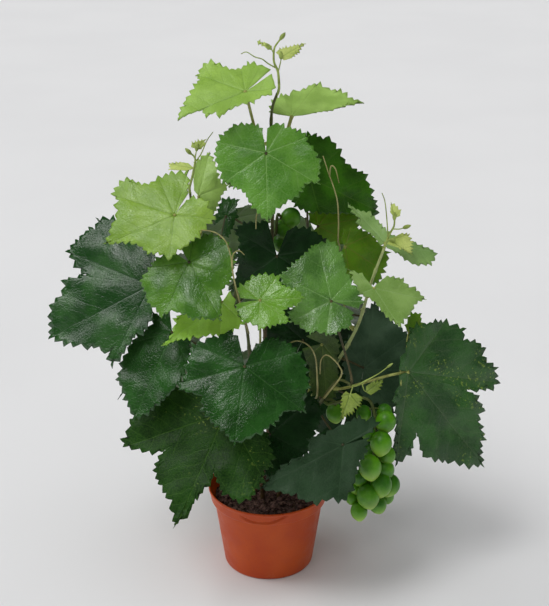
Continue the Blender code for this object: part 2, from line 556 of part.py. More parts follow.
def screw(name, profile, steps, home):
    mesh = bpy.data.meshes.new(name)
    edges = [(i, i + 1) for i in range(len(profile) - 1)]
    mesh.from_pydata([(radius, 0, height) for radius, height in profile], edges, [])
    turned = bpy.data.objects.new(name, mesh)
    home.objects.link(turned)
    spin = turned.modifiers.new("Turned", "SCREW")
    spin.steps = steps
    spin.render_steps = steps
    spin.use_merge_vertices = True
    spin.merge_threshold = WELD
    return turned


def pot_inner_radius(height):
    """The radius of the pot's inner wall, POT_WALL inside the outer one."""
    share = height / (POT_HEIGHT - POT_BAND_HEIGHT)
    return POT_BASE_RADIUS + (POT_WALL_TOP_RADIUS - POT_BASE_RADIUS) * share - POT_WALL


def add_pot(material, home):
    band_bottom = POT_HEIGHT - POT_BAND_HEIGHT
    profile = [
        (0, POT_WALL), (pot_inner_radius(POT_WALL), POT_WALL),
        (pot_inner_radius(band_bottom), band_bottom),
        (POT_BAND_RADIUS - POT_WALL, band_bottom + POT_SHOULDER),
        (POT_RIM_RADIUS - POT_WALL, POT_HEIGHT - POT_LIP),
        (POT_RIM_RADIUS - 0.5 * POT_WALL, POT_HEIGHT),
        (POT_RIM_RADIUS, POT_HEIGHT - POT_LIP),
        (POT_BAND_RADIUS, band_bottom + 0.5 * POT_SHOULDER),
        (POT_WALL_TOP_RADIUS, band_bottom - POT_LIP),
        (POT_BASE_RADIUS, POT_BASE_ROUND),
        (POT_BASE_RADIUS - 0.3 * POT_BASE_ROUND, 0.3 * POT_BASE_ROUND),
        (POT_BASE_RADIUS - POT_BASE_ROUND, 0),
        (0, 0),
    ]
    return finished(screw("pot", profile, POT_STEPS, home), material)


def add_soil(material, home, helpers):
    """The filling, from the pot's floor to below its rim, with a socket for each cane."""
    floor = POT_WALL + GAP
    band_bottom = POT_HEIGHT - POT_BAND_HEIGHT
    profile = [
        (0, SOIL_TOP), (pot_inner_radius(band_bottom) - 2 * GAP, SOIL_TOP),
        (pot_inner_radius(band_bottom) - 2 * GAP, band_bottom - POT_LIP),
        (pot_inner_radius(floor) - 2 * GAP, floor),
        (0, floor),
    ]
    soil = screw("soil", profile, POT_STEPS, home)
    for name, ((x, y), _) in CANES.items():
        foot = Vector((x * MM, y * MM, SOIL_TOP - SOCKET_DEPTH))
        over = foot + Vector((0, 0, 2 * SOCKET_DEPTH))
        cutter = tube("socket_" + name, [foot, over], CANE_RADIUS + GAP, helpers, 2)
        cutter.hide_render = True
        cutter.display_type = "WIRE"
        cut = soil.modifiers.new("Socket " + name, "BOOLEAN")
        cut.operation = "DIFFERENCE"
        cut.object = cutter
    return finished(soil, material, flat=True)


def add_tendril(name, material, home, helpers):
    cane, height, runs = TENDRILS[name]
    places = [[at_pixel(*point) for point in run] for run in runs]
    foot, clear = stalk_base(cane, height, places[0][0])
    route = [foot] + smooth_route([clear] + places[0], STALK_STEP)
    body = finished(tube(name, route, TENDRIL_RADIUS, home), material)
    branches = [tube(f"{name}_branch_{i}", smooth_route(run, BRANCH_STEP), BRANCH_RADIUS, helpers)
                for i, run in enumerate(places[1:])]
    return unite(body, branches)


def add_shoot(name, material, home, helpers):
    cane, twigs, leaflets = SHOOTS[name]
    places = [[at_pixel(*point) for point in twig] for twig in twigs]
    top, along = cane_end(cane)
    stem = [top + along * GAP, top + along * (GAP + NODE_LENGTH)] + places[0][1:]
    body = finished(tube(name, stem, SHOOT_RADII, home), material)
    pieces = [tube(f"{name}_twig_{i}", twig, TWIG_RADII, helpers) for i, twig in enumerate(places[1:])]
    for i, leaflet in enumerate(leaflets):
        young = Leaf(cane, 0, leaflet.seat, leaflet.behind, leaflet.facing, leaflet.tip,
                     0, 1, 0, LIGHT, leaflet.outline)
        place, _, _ = seen_place(young)
        mesh = blade_mesh(name, leaflet.outline, leaflet.seat, place)
        blade = bpy.data.objects.new(f"{name}_leaflet_{i}", mesh)
        helpers.objects.link(blade)
        pieces.append(thicken(blade))
    return unite(body, pieces)


def add_berry(name, u, v, behind, radius_pixels, helpers):
    """A slightly long berry, on its own line of sight."""
    centre = at_pixel(u, v, behind)
    depth = (centre - EYE).dot(ray(MIDDLE_U, MIDDLE_V))
    radius = radius_pixels * depth / FOCAL_PIXELS
    shape = bmesh.new()
    bmesh.ops.create_uvsphere(shape, u_segments=9, v_segments=6, radius=radius)
    for vertex in shape.verts:
        vertex.co.z *= BERRY_STRETCH
        vertex.co += centre
    mesh = bpy.data.meshes.new(name)
    shape.to_mesh(mesh)
    shape.free()
    berry = bpy.data.objects.new(name, mesh)
    helpers.objects.link(berry)
    return berry


def add_bunch(name, material, home, helpers):
    cane, height, stalk, berries = BUNCHES[name]
    places = [at_pixel(*point) for point in stalk]
    foot, clear = stalk_base(cane, height, places[0])
    route = [foot] + smooth_route([clear] + places, STALK_STEP)
    body = finished(tube(name, route, BUNCH_STALK_RADIUS, home), material)
    pieces = []
    for i, berry in enumerate(berries):
        centre = at_pixel(*berry[:3])
        joint = min(route[1:], key=lambda point: (point - PEDICEL_RISE - centre).length)
        pieces.append(tube(f"{name}_pedicel_{i}", [joint, centre], PEDICEL_RADIUS, helpers, 0))
        pieces.append(add_berry(f"{name}_berry_{i}", *berry, helpers))
    return unite(body, pieces)


def main():
    clear_scene()
    home = new_collection("potted_grapevine")
    helpers = new_collection("helpers")
    roughness = {"pot": 0.45, "soil": 0.95, "grape": 0.35, "cane": 0.6, "tendril": 0.6, "shoot": 0.5}
    paint = {name: plastic(name, roughness.get(name, 0.5)) for name in COLOURS}
    add_pot(paint["pot"], home)
    add_soil(paint["soil"], home, helpers)
    for name in CANES:
        finished(tube("cane_" + name, cane_route(name), CANE_RADIUS, home, 2), paint["cane"])
    for name, leaf in LEAVES.items():
        add_leaf(name, leaf, leaf, seen_place(leaf), paint[leaf.colour], home, helpers)
    for name, leaf in BACK_LEAVES.items():
        add_leaf(name, leaf, LEAVES[leaf.mould], back_place(leaf), paint[leaf.colour], home, helpers)
    for name in TENDRILS:
        add_tendril(name, paint["tendril"], home, helpers)
    for name in SHOOTS:
        add_shoot(name, paint["shoot"], home, helpers)
    for name in BUNCHES:
        add_bunch(name, paint["grape"], home, helpers)


main()
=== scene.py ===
"""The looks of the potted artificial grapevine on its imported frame. Metres, +Z up, the pot's underside
at z = 0, and the side seen in the photograph towards -Y. Pixels are those of the 549 x 606 photograph."""

import random
from collections import namedtuple
from math import asin, atan2, cos, exp, hypot, pi, radians, sin, sqrt

import bpy
import numpy as np
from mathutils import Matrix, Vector, noise


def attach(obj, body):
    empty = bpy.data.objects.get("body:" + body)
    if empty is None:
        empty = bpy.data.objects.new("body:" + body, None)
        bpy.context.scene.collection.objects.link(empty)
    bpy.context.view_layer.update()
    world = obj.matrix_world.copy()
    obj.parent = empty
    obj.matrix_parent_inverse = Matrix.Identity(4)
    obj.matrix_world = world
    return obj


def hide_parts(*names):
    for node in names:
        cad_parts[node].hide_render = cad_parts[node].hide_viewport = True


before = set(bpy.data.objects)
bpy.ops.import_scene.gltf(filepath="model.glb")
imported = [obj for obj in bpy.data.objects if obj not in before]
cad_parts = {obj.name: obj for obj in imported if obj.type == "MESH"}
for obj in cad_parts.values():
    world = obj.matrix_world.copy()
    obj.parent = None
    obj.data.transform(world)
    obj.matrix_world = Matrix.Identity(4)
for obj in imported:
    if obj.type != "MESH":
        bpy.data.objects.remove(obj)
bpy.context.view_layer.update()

MM = 0.001

# The pot and the soil, as in the CAD model
POT_HEIGHT = 85 * MM
POT_RIM_RADIUS = 61 * MM
POT_BAND_RADIUS = 58.5 * MM
POT_BAND_HEIGHT = 14 * MM
POT_WALL_TOP_RADIUS = 55 * MM
POT_BASE_RADIUS = 45 * MM
POT_WALL = 1.6 * MM
POT_WALL_HEIGHT = POT_HEIGHT - POT_BAND_HEIGHT
SOIL_TOP = 73 * MM
GAP = 0.3 * MM
SOCKET_DEPTH = 12 * MM

# What only the looks have: the pot's mark, as pixels of its ends and middle, its depth and width, the
# pot's steps around, what lies on the soil, and the blades' thickness, which is less than in the CAD
PRESSED_MARK = (239.6, 515.5), (262, 524), (288, 514.6)
MARK_DEPTH = 2.2 * MM
MARK_WIDTH = 1.0 * MM
POT_STEPS = 320
CRUMBS = 380
FIBRES = 60
BLADE_THICKNESS = 0.5 * MM

# The plant, as in the CAD model
PETIOLE_RADIUS = 1.1 * MM
NODE_LENGTH = 4 * MM
CANE_RADIUS = 2.3 * MM
CANE_STEP = 30 * MM

# A petiole's curve: its points, the shares of its length that its two ends are pulled along by, and how
# far it reaches into the blade, in mm
PETIOLE_POINTS = 26
PETIOLE_LEAN, PETIOLE_REACH, PETIOLE_DEPTH = 0.16, 0.35, 0.2

# The photograph's view: the eye, how far it looks down, the focal length, long side and middle in
# pixels, and a pixel's size at the plant
EYE = Vector((0.006, -1.156, 0.750))
PITCH = radians(22)
FOCAL_PIXELS = 1300
LONG_SIDE = 606
MIDDLE_U, MIDDLE_V = 274.5, 303
MM_PER_PIXEL = 0.95 * MM

# Each cane's foot in mm, and its route above its socket: pixels with mm behind the pot's axis
CANES = {
    "main": ((0, 4), [
        (268, 420, 4), (265, 330, 0), (272, 240, 2), (271, 160, 4), (271, 126, 2), (272.5, 107, 0),
        (277.5, 93, 0)]),
    "left": ((-12, 2), [(248, 420, 12), (222, 330, 22), (204, 262, 20), (192, 205, 2), (190, 192, 0)]),
    "right": ((13, 2), [(298, 420, -2), (332, 370, -12), (357, 327, -20), (371, 283, -20), (385, 246, -20)]),
    "low_right": ((10, -12), [(296, 440, -24), (318, 406, -44), (337, 381, -56), (352, 385, -66)]),
    "front": ((-6, -13), [
        (262, 440, -24), (252, 380, -38), (247, 330, -52), (238, 300, -62), (234, 284, -66)]),
    "back_left": ((-9, 14), [(250, 420, 40), (232, 340, 68), (240, 262, 62), (246, 225, 50)]),
    "back_right": ((9, 15), [(290, 420, 44), (310, 340, 72), (312, 262, 66), (306, 218, 52)]),
}

Leaf = namedtuple("Leaf", "cane height seat behind facing tip fold cup wave colour outline")

LIGHT, MID, DARK, OLIVE = "light", "mid", "dark", "olive"

# Leaves seen in the photograph. height: mm at which the petiole leaves its cane. seat: the pixel where
# petiole and blade meet, and behind: mm behind the pot's axis there. facing: degrees of azimuth (to +X)
# and elevation. tip: the midrib's end. fold, cup and wave: mm of relief at the edge, away from the eye.
LEAVES = {
    "leaf_top_left": Leaf("main", 440, (245, 91), -14, (-18, 60), (177, 119), 5, 3, 2, LIGHT, [
        (271, 71), (262, 66), (254, 62.5), (247.5, 61.5), (241, 68), (230, 69.5), (220, 64), (212, 62),
        (204, 65), (195, 74), (200, 80), (194, 84), (190, 92), (186, 101), (181, 109), (177, 119),
        (188, 114.6), (197, 111), (202, 109.2), (205.5, 117), (216, 112.5), (219, 119), (228, 110),
        (243, 105), (254, 104.5), (262, 96), (268, 95.5), (271.5, 95.5), (276, 88), (272, 75)]),
    "leaf_top_right": Leaf("main", 432, (292, 116), 6, (8, 76), (364, 101.5), 0, 0, 2, LIGHT, [
        (287, 115.5), (270, 113.5), (269.5, 107), (271, 100), (281, 95.5), (289, 96), (293, 90.5),
        (300, 91), (311, 86), (319.5, 82), (331, 91), (340, 92), (347, 95), (354, 100), (364, 101.5),
        (354, 104), (345, 106), (333, 108.4), (322, 110.6), (310, 112.9), (300, 114.7)]),
    "leaf_top_centre": Leaf("main", 372, (266, 153), -34, (0, 28), (267.5, 222), 5, 4, 3, MID, [
        (265.6, 149.5), (262, 129.5), (258, 125), (252, 124), (242, 124), (234, 125), (228, 130), (220, 135),
        (217, 142), (214.5, 154), (218, 169), (222, 184), (230, 182), (233, 189), (241, 189),
        (248, 198), (252, 208), (262, 218), (267.5, 222), (273, 215), (283, 205), (298, 197),
        (303, 192), (304, 184), (312, 182), (320, 185), (319, 170), (321, 160), (312, 147),
        (306, 142), (310, 136), (300, 130), (292, 129), (284, 124), (276, 123), (267, 129)]),
    "leaf_upper_right": Leaf("back_right", 300, (310, 178), 24, (28, 24), (379, 212), 4, 6, 3, DARK, [
        (298, 172), (297, 158), (300, 143), (307, 132), (316, 134), (322, 139), (328, 136.5),
        (331, 142), (340, 149), (340, 156), (352, 168), (366, 174), (365, 180), (372, 190),
        (370, 195), (376, 201), (379, 212), (374, 220), (362, 215), (349, 214), (335, 214),
        (320, 214), (306, 212), (294, 207), (289, 196), (296, 186)]),
    "leaf_inner_right": Leaf("back_right", 275, (318, 226), 26, (10, 35), (350, 240), 2, 3, 2, DARK, [
        (309, 222), (309.5, 213), (314, 205), (322, 202), (334, 204), (350, 208), (362, 218),
        (358, 232), (350, 242), (338, 248), (318, 247), (306, 238)]),
    "leaf_centre_dark": Leaf("main", 285, (277, 256), -16, (0, 12), (276, 312), 3, 4, 3, DARK, [
        (287, 231), (296, 226), (310, 227), (318, 234), (326, 238), (331, 248), (328, 264),
        (318, 282), (303, 290), (290, 302), (276, 308), (262, 300), (250, 290), (228, 291),
        (238, 270), (236, 255), (240, 243), (233, 229), (243, 221), (254, 222), (262, 220), (268, 222)]),
    "leaf_centre_right": Leaf("low_right", 235, (331, 300.5), -62, (10, 36), (319, 243), 5, 4, 4, MID, [
        (345, 305), (358, 309), (364, 302), (357, 290), (351, 278), (344, 262), (342, 254),
        (335, 244), (327, 240), (318, 244), (311, 246), (303, 256), (292, 263), (279, 275),
        (281, 283), (297, 293), (302, 301), (288, 312), (290, 322), (305, 330), (310, 335),
        (316, 331), (326, 336), (336, 335), (341, 329), (347, 331), (352, 319), (354, 313), (343, 306.8)]),
    "leaf_centre_light": Leaf("front", 240, (260, 300), -84, (-6, 40), (305, 298), 3, 3, 3, LIGHT, [
        (241, 298.5), (237, 290), (240, 284), (250, 280), (252, 276), (266, 275), (279, 275),
        (279, 281), (286, 287), (295, 288), (305, 298), (297, 306), (283, 310), (291, 322),
        (282, 324), (270, 328), (259, 330), (250, 322), (244, 324), (236, 310), (235, 305), (241, 302.5)]),
    "leaf_right_olive": Leaf("right", 262, (345, 246), 8, (20, 25), (386, 272), 3, 3, 2, OLIVE, [
        (341, 240), (344, 230), (352, 227), (362, 228), (372, 234), (381, 245), (389, 252),
        (386, 262), (385, 272), (378, 284), (366, 285), (351, 281), (341, 273), (336, 259)]),
    "leaf_right_shoot": Leaf("right", 345, (385, 243), -4, (25, 52), (437, 253), 0, 0, 1, LIGHT, [
        (381, 245), (374, 237), (366, 230), (357, 223), (359, 218), (352, 211), (348, 201),
        (356, 209), (366, 213), (370, 212), (378, 221), (386, 232), (396, 237), (415, 243),
        (430, 250), (437, 253), (434, 261), (431, 266), (418, 267), (405, 260), (392, 251), (387, 248)]),
    "leaf_right_light": Leaf("right", 300, (374, 288), -42, (15, 42), (400, 327), 4, 2, 3, LIGHT, [
        (370.5, 284), (362, 274), (348, 268), (353, 281), (358, 295), (369, 298), (379, 307),
        (386, 317), (400, 327), (408, 318), (411, 312), (418, 301), (427, 300), (415, 288),
        (409, 287.5), (403, 279), (386, 277), (376, 284.5)]),
    "leaf_right_large": Leaf("low_right", 218, (409, 372), -37, (24, 14), (485, 467), 6, 6, 4, DARK, [
        (398, 369.5), (400, 357), (405, 352), (406, 343), (409, 328), (416, 323), (425, 324),
        (434, 320), (447, 320), (464, 328), (462, 340), (474, 339.5), (484, 347), (482, 355),
        (497, 367), (499, 382), (493, 389), (476, 391), (461, 387.5), (477, 396), (485, 410),
        (478, 414), (484, 439), (480, 448), (485, 467), (468, 467), (448, 463), (434, 460),
        (423, 456), (420, 449), (416.5, 432), (410, 454), (396, 466), (392, 458), (396, 425),
        (391, 400), (399.5, 386), (398, 374.5)]),
    "leaf_right_shade": Leaf("right", 232, (364, 368), -8, (15, 26), (375, 301), 3, 4, 3, DARK, [
        (359.8, 392), (366, 400), (380, 406), (392, 410), (402, 396), (407, 372), (410, 352),
        (411, 334), (398, 327), (386, 314), (375, 301), (367, 308), (354, 326), (345, 342),
        (341, 352), (343, 372), (347, 386), (358.4, 392)]),
    "leaf_low_right": Leaf("low_right", 195, (343, 445), -102, (8, 34), (258, 489), 5, 4, 3, DARK, [
        (356, 439.5), (372, 431.5), (380, 423), (374, 418), (366, 421), (359, 416), (344, 424), (333, 429),
        (316, 436), (307, 438), (309, 453), (303, 456), (292, 460), (281, 466), (275, 474),
        (268, 481), (258, 489), (274, 491), (288, 494), (304, 500), (316, 505), (322, 500),
        (338, 502), (346, 500), (353, 490), (355, 475), (366.5, 451), (369, 437.5), (357, 440.8)]),
    "leaf_low_dark": Leaf("front", 130, (270, 434), -72, (0, 34), (268, 482), 3, 3, 2, DARK, [
        (266, 424), (276, 420), (283, 411), (292, 408), (304, 396.5), (309, 391.5),
        (315, 396), (318, 402), (322, 410), (321, 420), (318, 429), (314, 436), (311, 444),
        (308, 455), (296, 462), (285, 468), (275, 478), (267, 480), (261, 462), (261, 430)]),
    "leaf_centre_large": Leaf("front", 215, (244.5, 366.5), -106, (0, 36), (234, 447), 6, 5, 4, DARK, [
        (250, 355), (256, 344), (266, 338), (278, 338), (290, 344), (301, 352), (309, 371),
        (309, 387), (304, 400), (306, 413), (290, 411), (283, 412), (275, 426), (264, 430),
        (261, 434.5), (246, 439), (234, 447), (229, 437), (216, 427), (200, 411), (203, 397),
        (193, 393), (180, 390), (178, 384), (187, 373), (184, 366), (190, 354), (191, 343),
        (212, 338), (224, 334), (231, 331), (238, 336), (243, 358)]),
    "leaf_left_light_low": Leaf("left", 262, (222, 302), -44, (-15, 66), (162, 347), 0, 1, 2, LIGHT, [
        (230, 292), (235, 301), (238, 316), (244, 323), (233, 332), (220, 337), (204, 338),
        (190, 341), (176, 340), (162, 347), (173, 334), (174, 321), (182, 312), (192, 304), (210, 292)]),
    "leaf_left_shade": Leaf("left", 225, (172, 332), -58, (-22, 34), (133, 421), 5, 4, 3, DARK, [
        (180, 323), (190, 332), (192, 350), (188, 365), (182, 382), (172, 392), (160, 405),
        (148, 415), (133, 421), (130, 408), (124, 400), (123, 387), (117, 380), (120, 364),
        (132, 343), (137, 333), (144, 332), (153, 324), (150, 309), (160, 317), (170, 309)]),
    "leaf_left_large": Leaf("left", 270, (150, 285), -40, (-24, 34), (49, 338), 6, 6, 4, DARK, [
        (156, 276), (157, 262), (152, 250), (140, 236), (126, 224), (114, 217), (97, 218),
        (96, 230), (90, 228), (85, 235), (76, 240), (66, 251), (74, 266), (82, 273), (93, 276.5),
        (80, 275), (63, 280), (66, 286), (52, 306), (49, 325), (49, 338), (66, 345), (88, 349),
        (100, 347), (105, 353), (111, 351), (107, 359), (110, 367), (119, 361), (131, 345),
        (137, 333), (144, 336), (153, 320), (152.5, 308), (156, 292)]),
    "leaf_left_mid": Leaf("left", 300, (189, 262), -72, (-8, 38), (221, 321), 5, 4, 4, MID, [
        (187.2, 260.8), (174.5, 252.5), (170.5, 256.5), (164, 256), (156, 257), (149, 268), (141, 281),
        (144, 291), (149, 303), (158, 313), (161, 318), (171, 310), (180, 313), (193, 320), (208, 320),
        (221, 321), (221, 303), (222, 290), (233, 280), (232, 272), (236, 262), (232, 252),
        (229, 243), (212, 232), (204, 233), (200, 240), (194, 236), (191, 243), (181, 248.5)]),
    "leaf_left_light": Leaf("left", 360, (174.5, 215), -58, (-10, 44), (105, 245), 5, 4, 4, LIGHT, [
        (180, 208.5), (187, 201), (193, 196), (209, 203), (216, 219), (206, 228), (200, 231),
        (200, 238), (184, 248), (173, 255), (169, 260), (164, 255), (148, 254), (137, 244),
        (115, 243), (105, 245), (112, 228), (118, 211), (114, 206), (119, 201), (111, 194),
        (120, 182), (127, 179), (142, 185), (155, 181), (158, 176), (172, 172), (188, 170),
        (189, 180), (188, 192), (178.5, 209)]),
    "leaf_left_behind": Leaf("left", 345, (198.5, 196), 24, (8, 30), (210, 150), 3, 3, 2, LIGHT, [
        (194, 190), (193, 175), (194, 163), (201, 157), (206, 155), (210, 150), (213, 158),
        (219, 175), (221, 183), (231, 183), (227, 190), (221, 196), (219, 206), (214, 214),
        (206, 210), (199, 203)]),
    "leaf_inner_left": Leaf("left", 318, (226, 216), 8, (0, 28), (229, 238), 2, 2, 2, DARK, [
        (218, 222), (213, 226), (216, 215), (219, 205), (222, 198), (229, 196), (239, 199),
        (236, 208), (238, 217), (233, 226), (229, 238), (222, 235)]),
    "leaf_low_left": Leaf("front", 165, (226, 412), -84, (-14, 38), (175, 528.5), 6, 4, 4, DARK, [
        (234, 404), (250, 407), (262, 420), (268, 434), (275, 458), (274, 468), (264, 470),
        (265, 482), (251, 500), (240, 503), (223, 495), (217, 482), (214, 472), (210.5, 486),
        (205, 488), (198, 500), (194.5, 498), (187, 517), (179, 520), (175, 528.5), (171, 509),
        (173, 501), (167, 498), (159, 484), (154, 471), (159, 457), (168, 449), (153, 454),
        (124, 447), (122, 440), (131, 426), (131, 420), (140, 411), (137, 408), (151, 403),
        (148, 393), (155, 387), (165, 382), (180, 389), (195, 393), (218, 402)]),
    "leaf_centre_inner": Leaf("low_right", 178, (322, 344), -22, (5, 12), (327, 404), 2, 2, 2, OLIVE, [
        (306, 336), (318, 330), (336, 334), (340, 345), (338, 362), (339, 385), (336, 397), (327, 404),
        (315, 402), (310, 388), (309, 372), (306, 360), (302, 348)]),
    "leaf_inner_mid": Leaf("back_right", 205, (303, 340), 34, (4, 16), (300, 402), 3, 3, 2, DARK, [
        (277, 385), (268, 366), (262, 348), (264, 330), (272, 314), (288, 306), (303, 318),
        (318, 312), (332, 308), (348, 318), (355, 338), (350, 358), (342, 378), (330, 392),
        (318, 398), (300, 402), (286, 396), (280, 388.5)]),
    "leaf_inner_low": Leaf("right", 200, (352, 396), 6, (4, 18), (350, 452), 3, 3, 2, DARK, [
        (332, 447), (318, 437), (314, 422), (314, 404), (321, 388), (333, 374), (346, 371),
        (357, 376), (368, 384), (382, 388), (392, 400), (394, 416), (388, 432), (376, 444),
        (364, 450), (350, 452), (337, 449)]),
    "leaf_right_behind": Leaf("back_right", 240, (414, 340), 24, (35, 30), (421, 313), 2, 2, 1, OLIVE, [
        (408, 336), (405, 325), (411, 312), (421, 313), (421, 322), (432, 330), (430, 345), (418, 352)]),
}

BackLeaf = namedtuple("BackLeaf", "cane height seat facing turn mould size colour")

# Leaves out of the photograph's sight. seat: mm. turn: degrees by which the tip leans from straight
# down. mould: the seen leaf whose outline it repeats, and size: its scale.
BACK_LEAVES = {
    "leaf_back_top": BackLeaf(
        "main", 395, (0, 58, 405), (188, 38), 0, "leaf_top_centre", 0.9, LIGHT),
    "leaf_back_top_left": BackLeaf(
        "main", 350, (-34, 52, 352), (205, 34), -14, "leaf_left_mid", 0.95, MID),
    "leaf_back_upper": BackLeaf(
        "back_right", 315, (48, 104, 318), (158, 36), 12, "leaf_centre_large", 0.85, MID),
    "leaf_back_left_upper": BackLeaf(
        "back_left", 300, (-80, 84, 292), (222, 34), -18, "leaf_top_centre", 1.1, DARK),
    "leaf_back_middle": BackLeaf(
        "back_left", 250, (-14, 132, 252), (186, 36), 6, "leaf_centre_right", 1.1, MID),
    "leaf_back_right": BackLeaf(
        "back_right", 250, (108, 78, 236), (132, 36), 16, "leaf_left_mid", 1.15, DARK),
    "leaf_back_left": BackLeaf(
        "back_left", 215, (-112, 60, 204), (236, 36), -14, "leaf_centre_large", 0.95, DARK),
    "leaf_back_low_right": BackLeaf(
        "back_right", 190, (74, 124, 176), (152, 40), 8, "leaf_centre_large", 0.95, DARK),
    "leaf_back_low_left": BackLeaf(
        "back_left", 165, (-58, 118, 160), (206, 40), -8, "leaf_top_centre", 1.15, DARK),
    "leaf_back_low": BackLeaf(
        "back_right", 130, (8, 104, 118), (180, 44), 0, "leaf_left_mid", 0.95, MID),
}

# Tendrils: the cane and mm of height they leave it at, then their run and its branches: pixels with
# mm behind the axis
TENDRILS = {
    "tendril_upper_right": ("main", 300, [
        [(334, 256, 6), (338, 238, 2), (338, 207, -2), (334.5, 190, -4), (328, 171.5, -6), (323, 156, -8)],
        [(329.5, 176, -5), (331, 166, -8), (335.5, 169, -10), (339, 183, -10)]]),
    "tendril_left": ("front", 278, [
        [(236, 288, -84), (232.5, 270, -88), (231, 257, -88), (226, 242, -88), (218, 234, -88),
         (210, 231, -88), (201, 230, -86)],
        [(232.5, 270, -88), (232.5, 256, -90), (236, 251.5, -92), (240, 251, -94), (244.5, 255, -94)]]),
    "tendril_arch": ("low_right", 190, [
        [(317, 396, -44), (317, 374, -52), (315, 356, -58), (308, 345, -60), (296, 341, -62),
         (282, 347, -62)]]),
    "tendril_low": ("low_right", 210, [
        [(341, 376, -66), (339, 366, -68), (332, 358, -70), (326, 355, -68), (321, 360, -66),
         (320, 374, -64)]]),
    "tendril_centre": ("main", 385, [
        [(262, 208, -16), (257, 214, -22), (256, 222, -24), (256, 229, -24)]]),
}

Leaflet = namedtuple("Leaflet", "seat behind facing tip outline")

# Young shoots: the cane they end, their stem and its twigs, in pixels with mm behind the axis, and
# small leaves. A stem's first point only stands for the cane's end.
SHOOTS = {
    "shoot_top": ("main", [
        [(278, 88, 0), (278, 72, 0), (274, 62, 0), (274, 50, 0), (276, 45, 0), (282, 37, 0)],
        [(278, 73, 0), (281, 60, -3), (281, 56, -4)],
        [(274, 54, 0), (272, 50, 0), (269, 47, 0)],
        [(276, 68, 0), (268, 63.5, -2), (262, 59, -4), (255, 57, -6), (246.5, 52, -8), (241, 54, -10)]], [
        Leaflet((281, 57), -4, (10, 40), (305, 43), [
            (276, 52), (280, 48), (286, 46), (296, 45), (305, 43), (299, 52), (292, 58), (284, 60)]),
        Leaflet((270, 48), 0, (-20, 50), (257, 42), [
            (268, 50), (264, 46), (257, 42), (264, 42), (272, 46)])]),
    "shoot_left": ("left", [
        [(190, 191, 0), (192, 178, 0), (194, 168, 0), (195, 158, 0), (189, 152, 0)],
        [(195, 158, 0), (197, 148, -2)],
        [(194.5, 163, 0), (201, 154, -4), (207, 140.5, -6), (213, 132, -8)]], [
        Leaflet((197, 149), -2, (0, 40), (205, 139), [
            (191, 147), (192, 142), (198, 140), (205, 139), (206, 143), (201, 149)]),
        Leaflet((194, 168), -0.5, (-12, 60), (169, 164), [
            (186, 171), (170, 170), (169, 164), (180, 162), (188, 163)])]),
    "shoot_right": ("right", [
        [(386, 245, -20), (389, 235, -20), (394, 226, -20), (394.5, 217, -20)],
        [(393, 229, -20), (400, 229, -22), (406, 227, -23)],
        [(387, 240, -20), (391, 240, -22)],
        [(388, 238, -20), (387, 221, -24), (385, 202, -28), (382, 193, -30)]], [
        Leaflet((394.5, 218), -20, (0, 30), (391, 202), [
            (400, 216), (401, 210), (396, 206), (391, 202), (390, 212)]),
        Leaflet((390, 240), -22, (20, 40), (412, 255), [
            (387, 244), (398, 248), (406, 251), (412, 255), (413, 242), (410, 234), (402, 233),
            (394, 237)])]),
    "shoot_low": ("low_right", [
        [(351.5, 386.5, -66), (363, 382, -72), (378, 374, -78), (389, 366, -82)],
        [(353, 386, -67), (351, 392, -70), (350, 396, -71)],
        [(362, 382.5, -72), (364, 390, -74), (367, 392, -75)]], [
        Leaflet((350, 394), -71, (0, 32), (341, 420), [
            (356, 393), (363, 398), (360, 406), (352, 414), (341, 420), (341, 405), (341, 396), (346, 391)]),
        Leaflet((366, 392), -75, (0, 40), (384, 379), [
            (371, 395), (380, 389), (384, 379), (374, 381), (366, 386)])]),
}

# Bunches: the cane and mm of height of the stalk, the stalk's pixels with mm behind the axis, then
# each berry's pixel, mm behind the axis and radius in pixels
BUNCHES = {
    "grapes_low_right": ("low_right", 202, [
        (364, 398, -62), (374, 412, -68), (375, 440, -74), (373, 470, -76), (368, 496, -78)], [
        (385.5, 421.6, -70, 10.5), (384, 412, -63, 8), (381, 443, -80, 11), (386.5, 455, -70, 9),
        (370, 467, -88, 11.5), (384.5, 470, -73, 10), (381, 485, -82, 11), (390, 485, -72, 10),
        (368, 496, -86, 11.5), (377.5, 504, -77, 9), (359, 511, -84, 8.5), (352, 498, -76, 6.5),
        (360, 478, -78, 8), (355, 487, -74, 6.5), (364, 414, -64, 8), (369, 434, -72, 7),
        (372, 453, -60, 9), (383, 460, -60, 7.5), (369, 481, -64, 9), (386, 496, -66, 8)]),
    "grapes_inner": ("low_right", 205, [(335, 402, -44), (335, 410, -40)], [(335, 413, -40, 9)]),
    "grapes_top": ("main", 350, [(278, 214, 12), (283, 224, 15), (282, 236, 15)], [
        (290.5, 218.5, 17, 10.3), (283.5, 230, 15, 9.5), (281, 243, 15, 8.5)]),
}


def ray(u, v):
    """The direction of a pixel's line of sight, one unit deep."""
    right = (u - MIDDLE_U) / FOCAL_PIXELS
    up = (MIDDLE_V - v) / FOCAL_PIXELS
    return Vector((right, cos(PITCH) + up * sin(PITCH), up * cos(PITCH) - sin(PITCH)))


def at_pixel(u, v, behind):
    """The point on a pixel's line of sight that lies that many mm behind the pot's axis."""
    way = ray(u, v)
    return EYE + way * ((behind * MM - EYE.y) / way.y)


def facing_way(azimuth, elevation):
    """A unit vector: azimuth 0 faces -Y and turns towards +X."""
    turn, rise = radians(azimuth), radians(elevation)
    return Vector((sin(turn) * cos(rise), -cos(turn) * cos(rise), sin(rise)))


def way_to(point, start):
    """The direction between two pixels, as a flat vector of its length."""
    return Vector((point[0] - start[0], point[1] - start[1]))


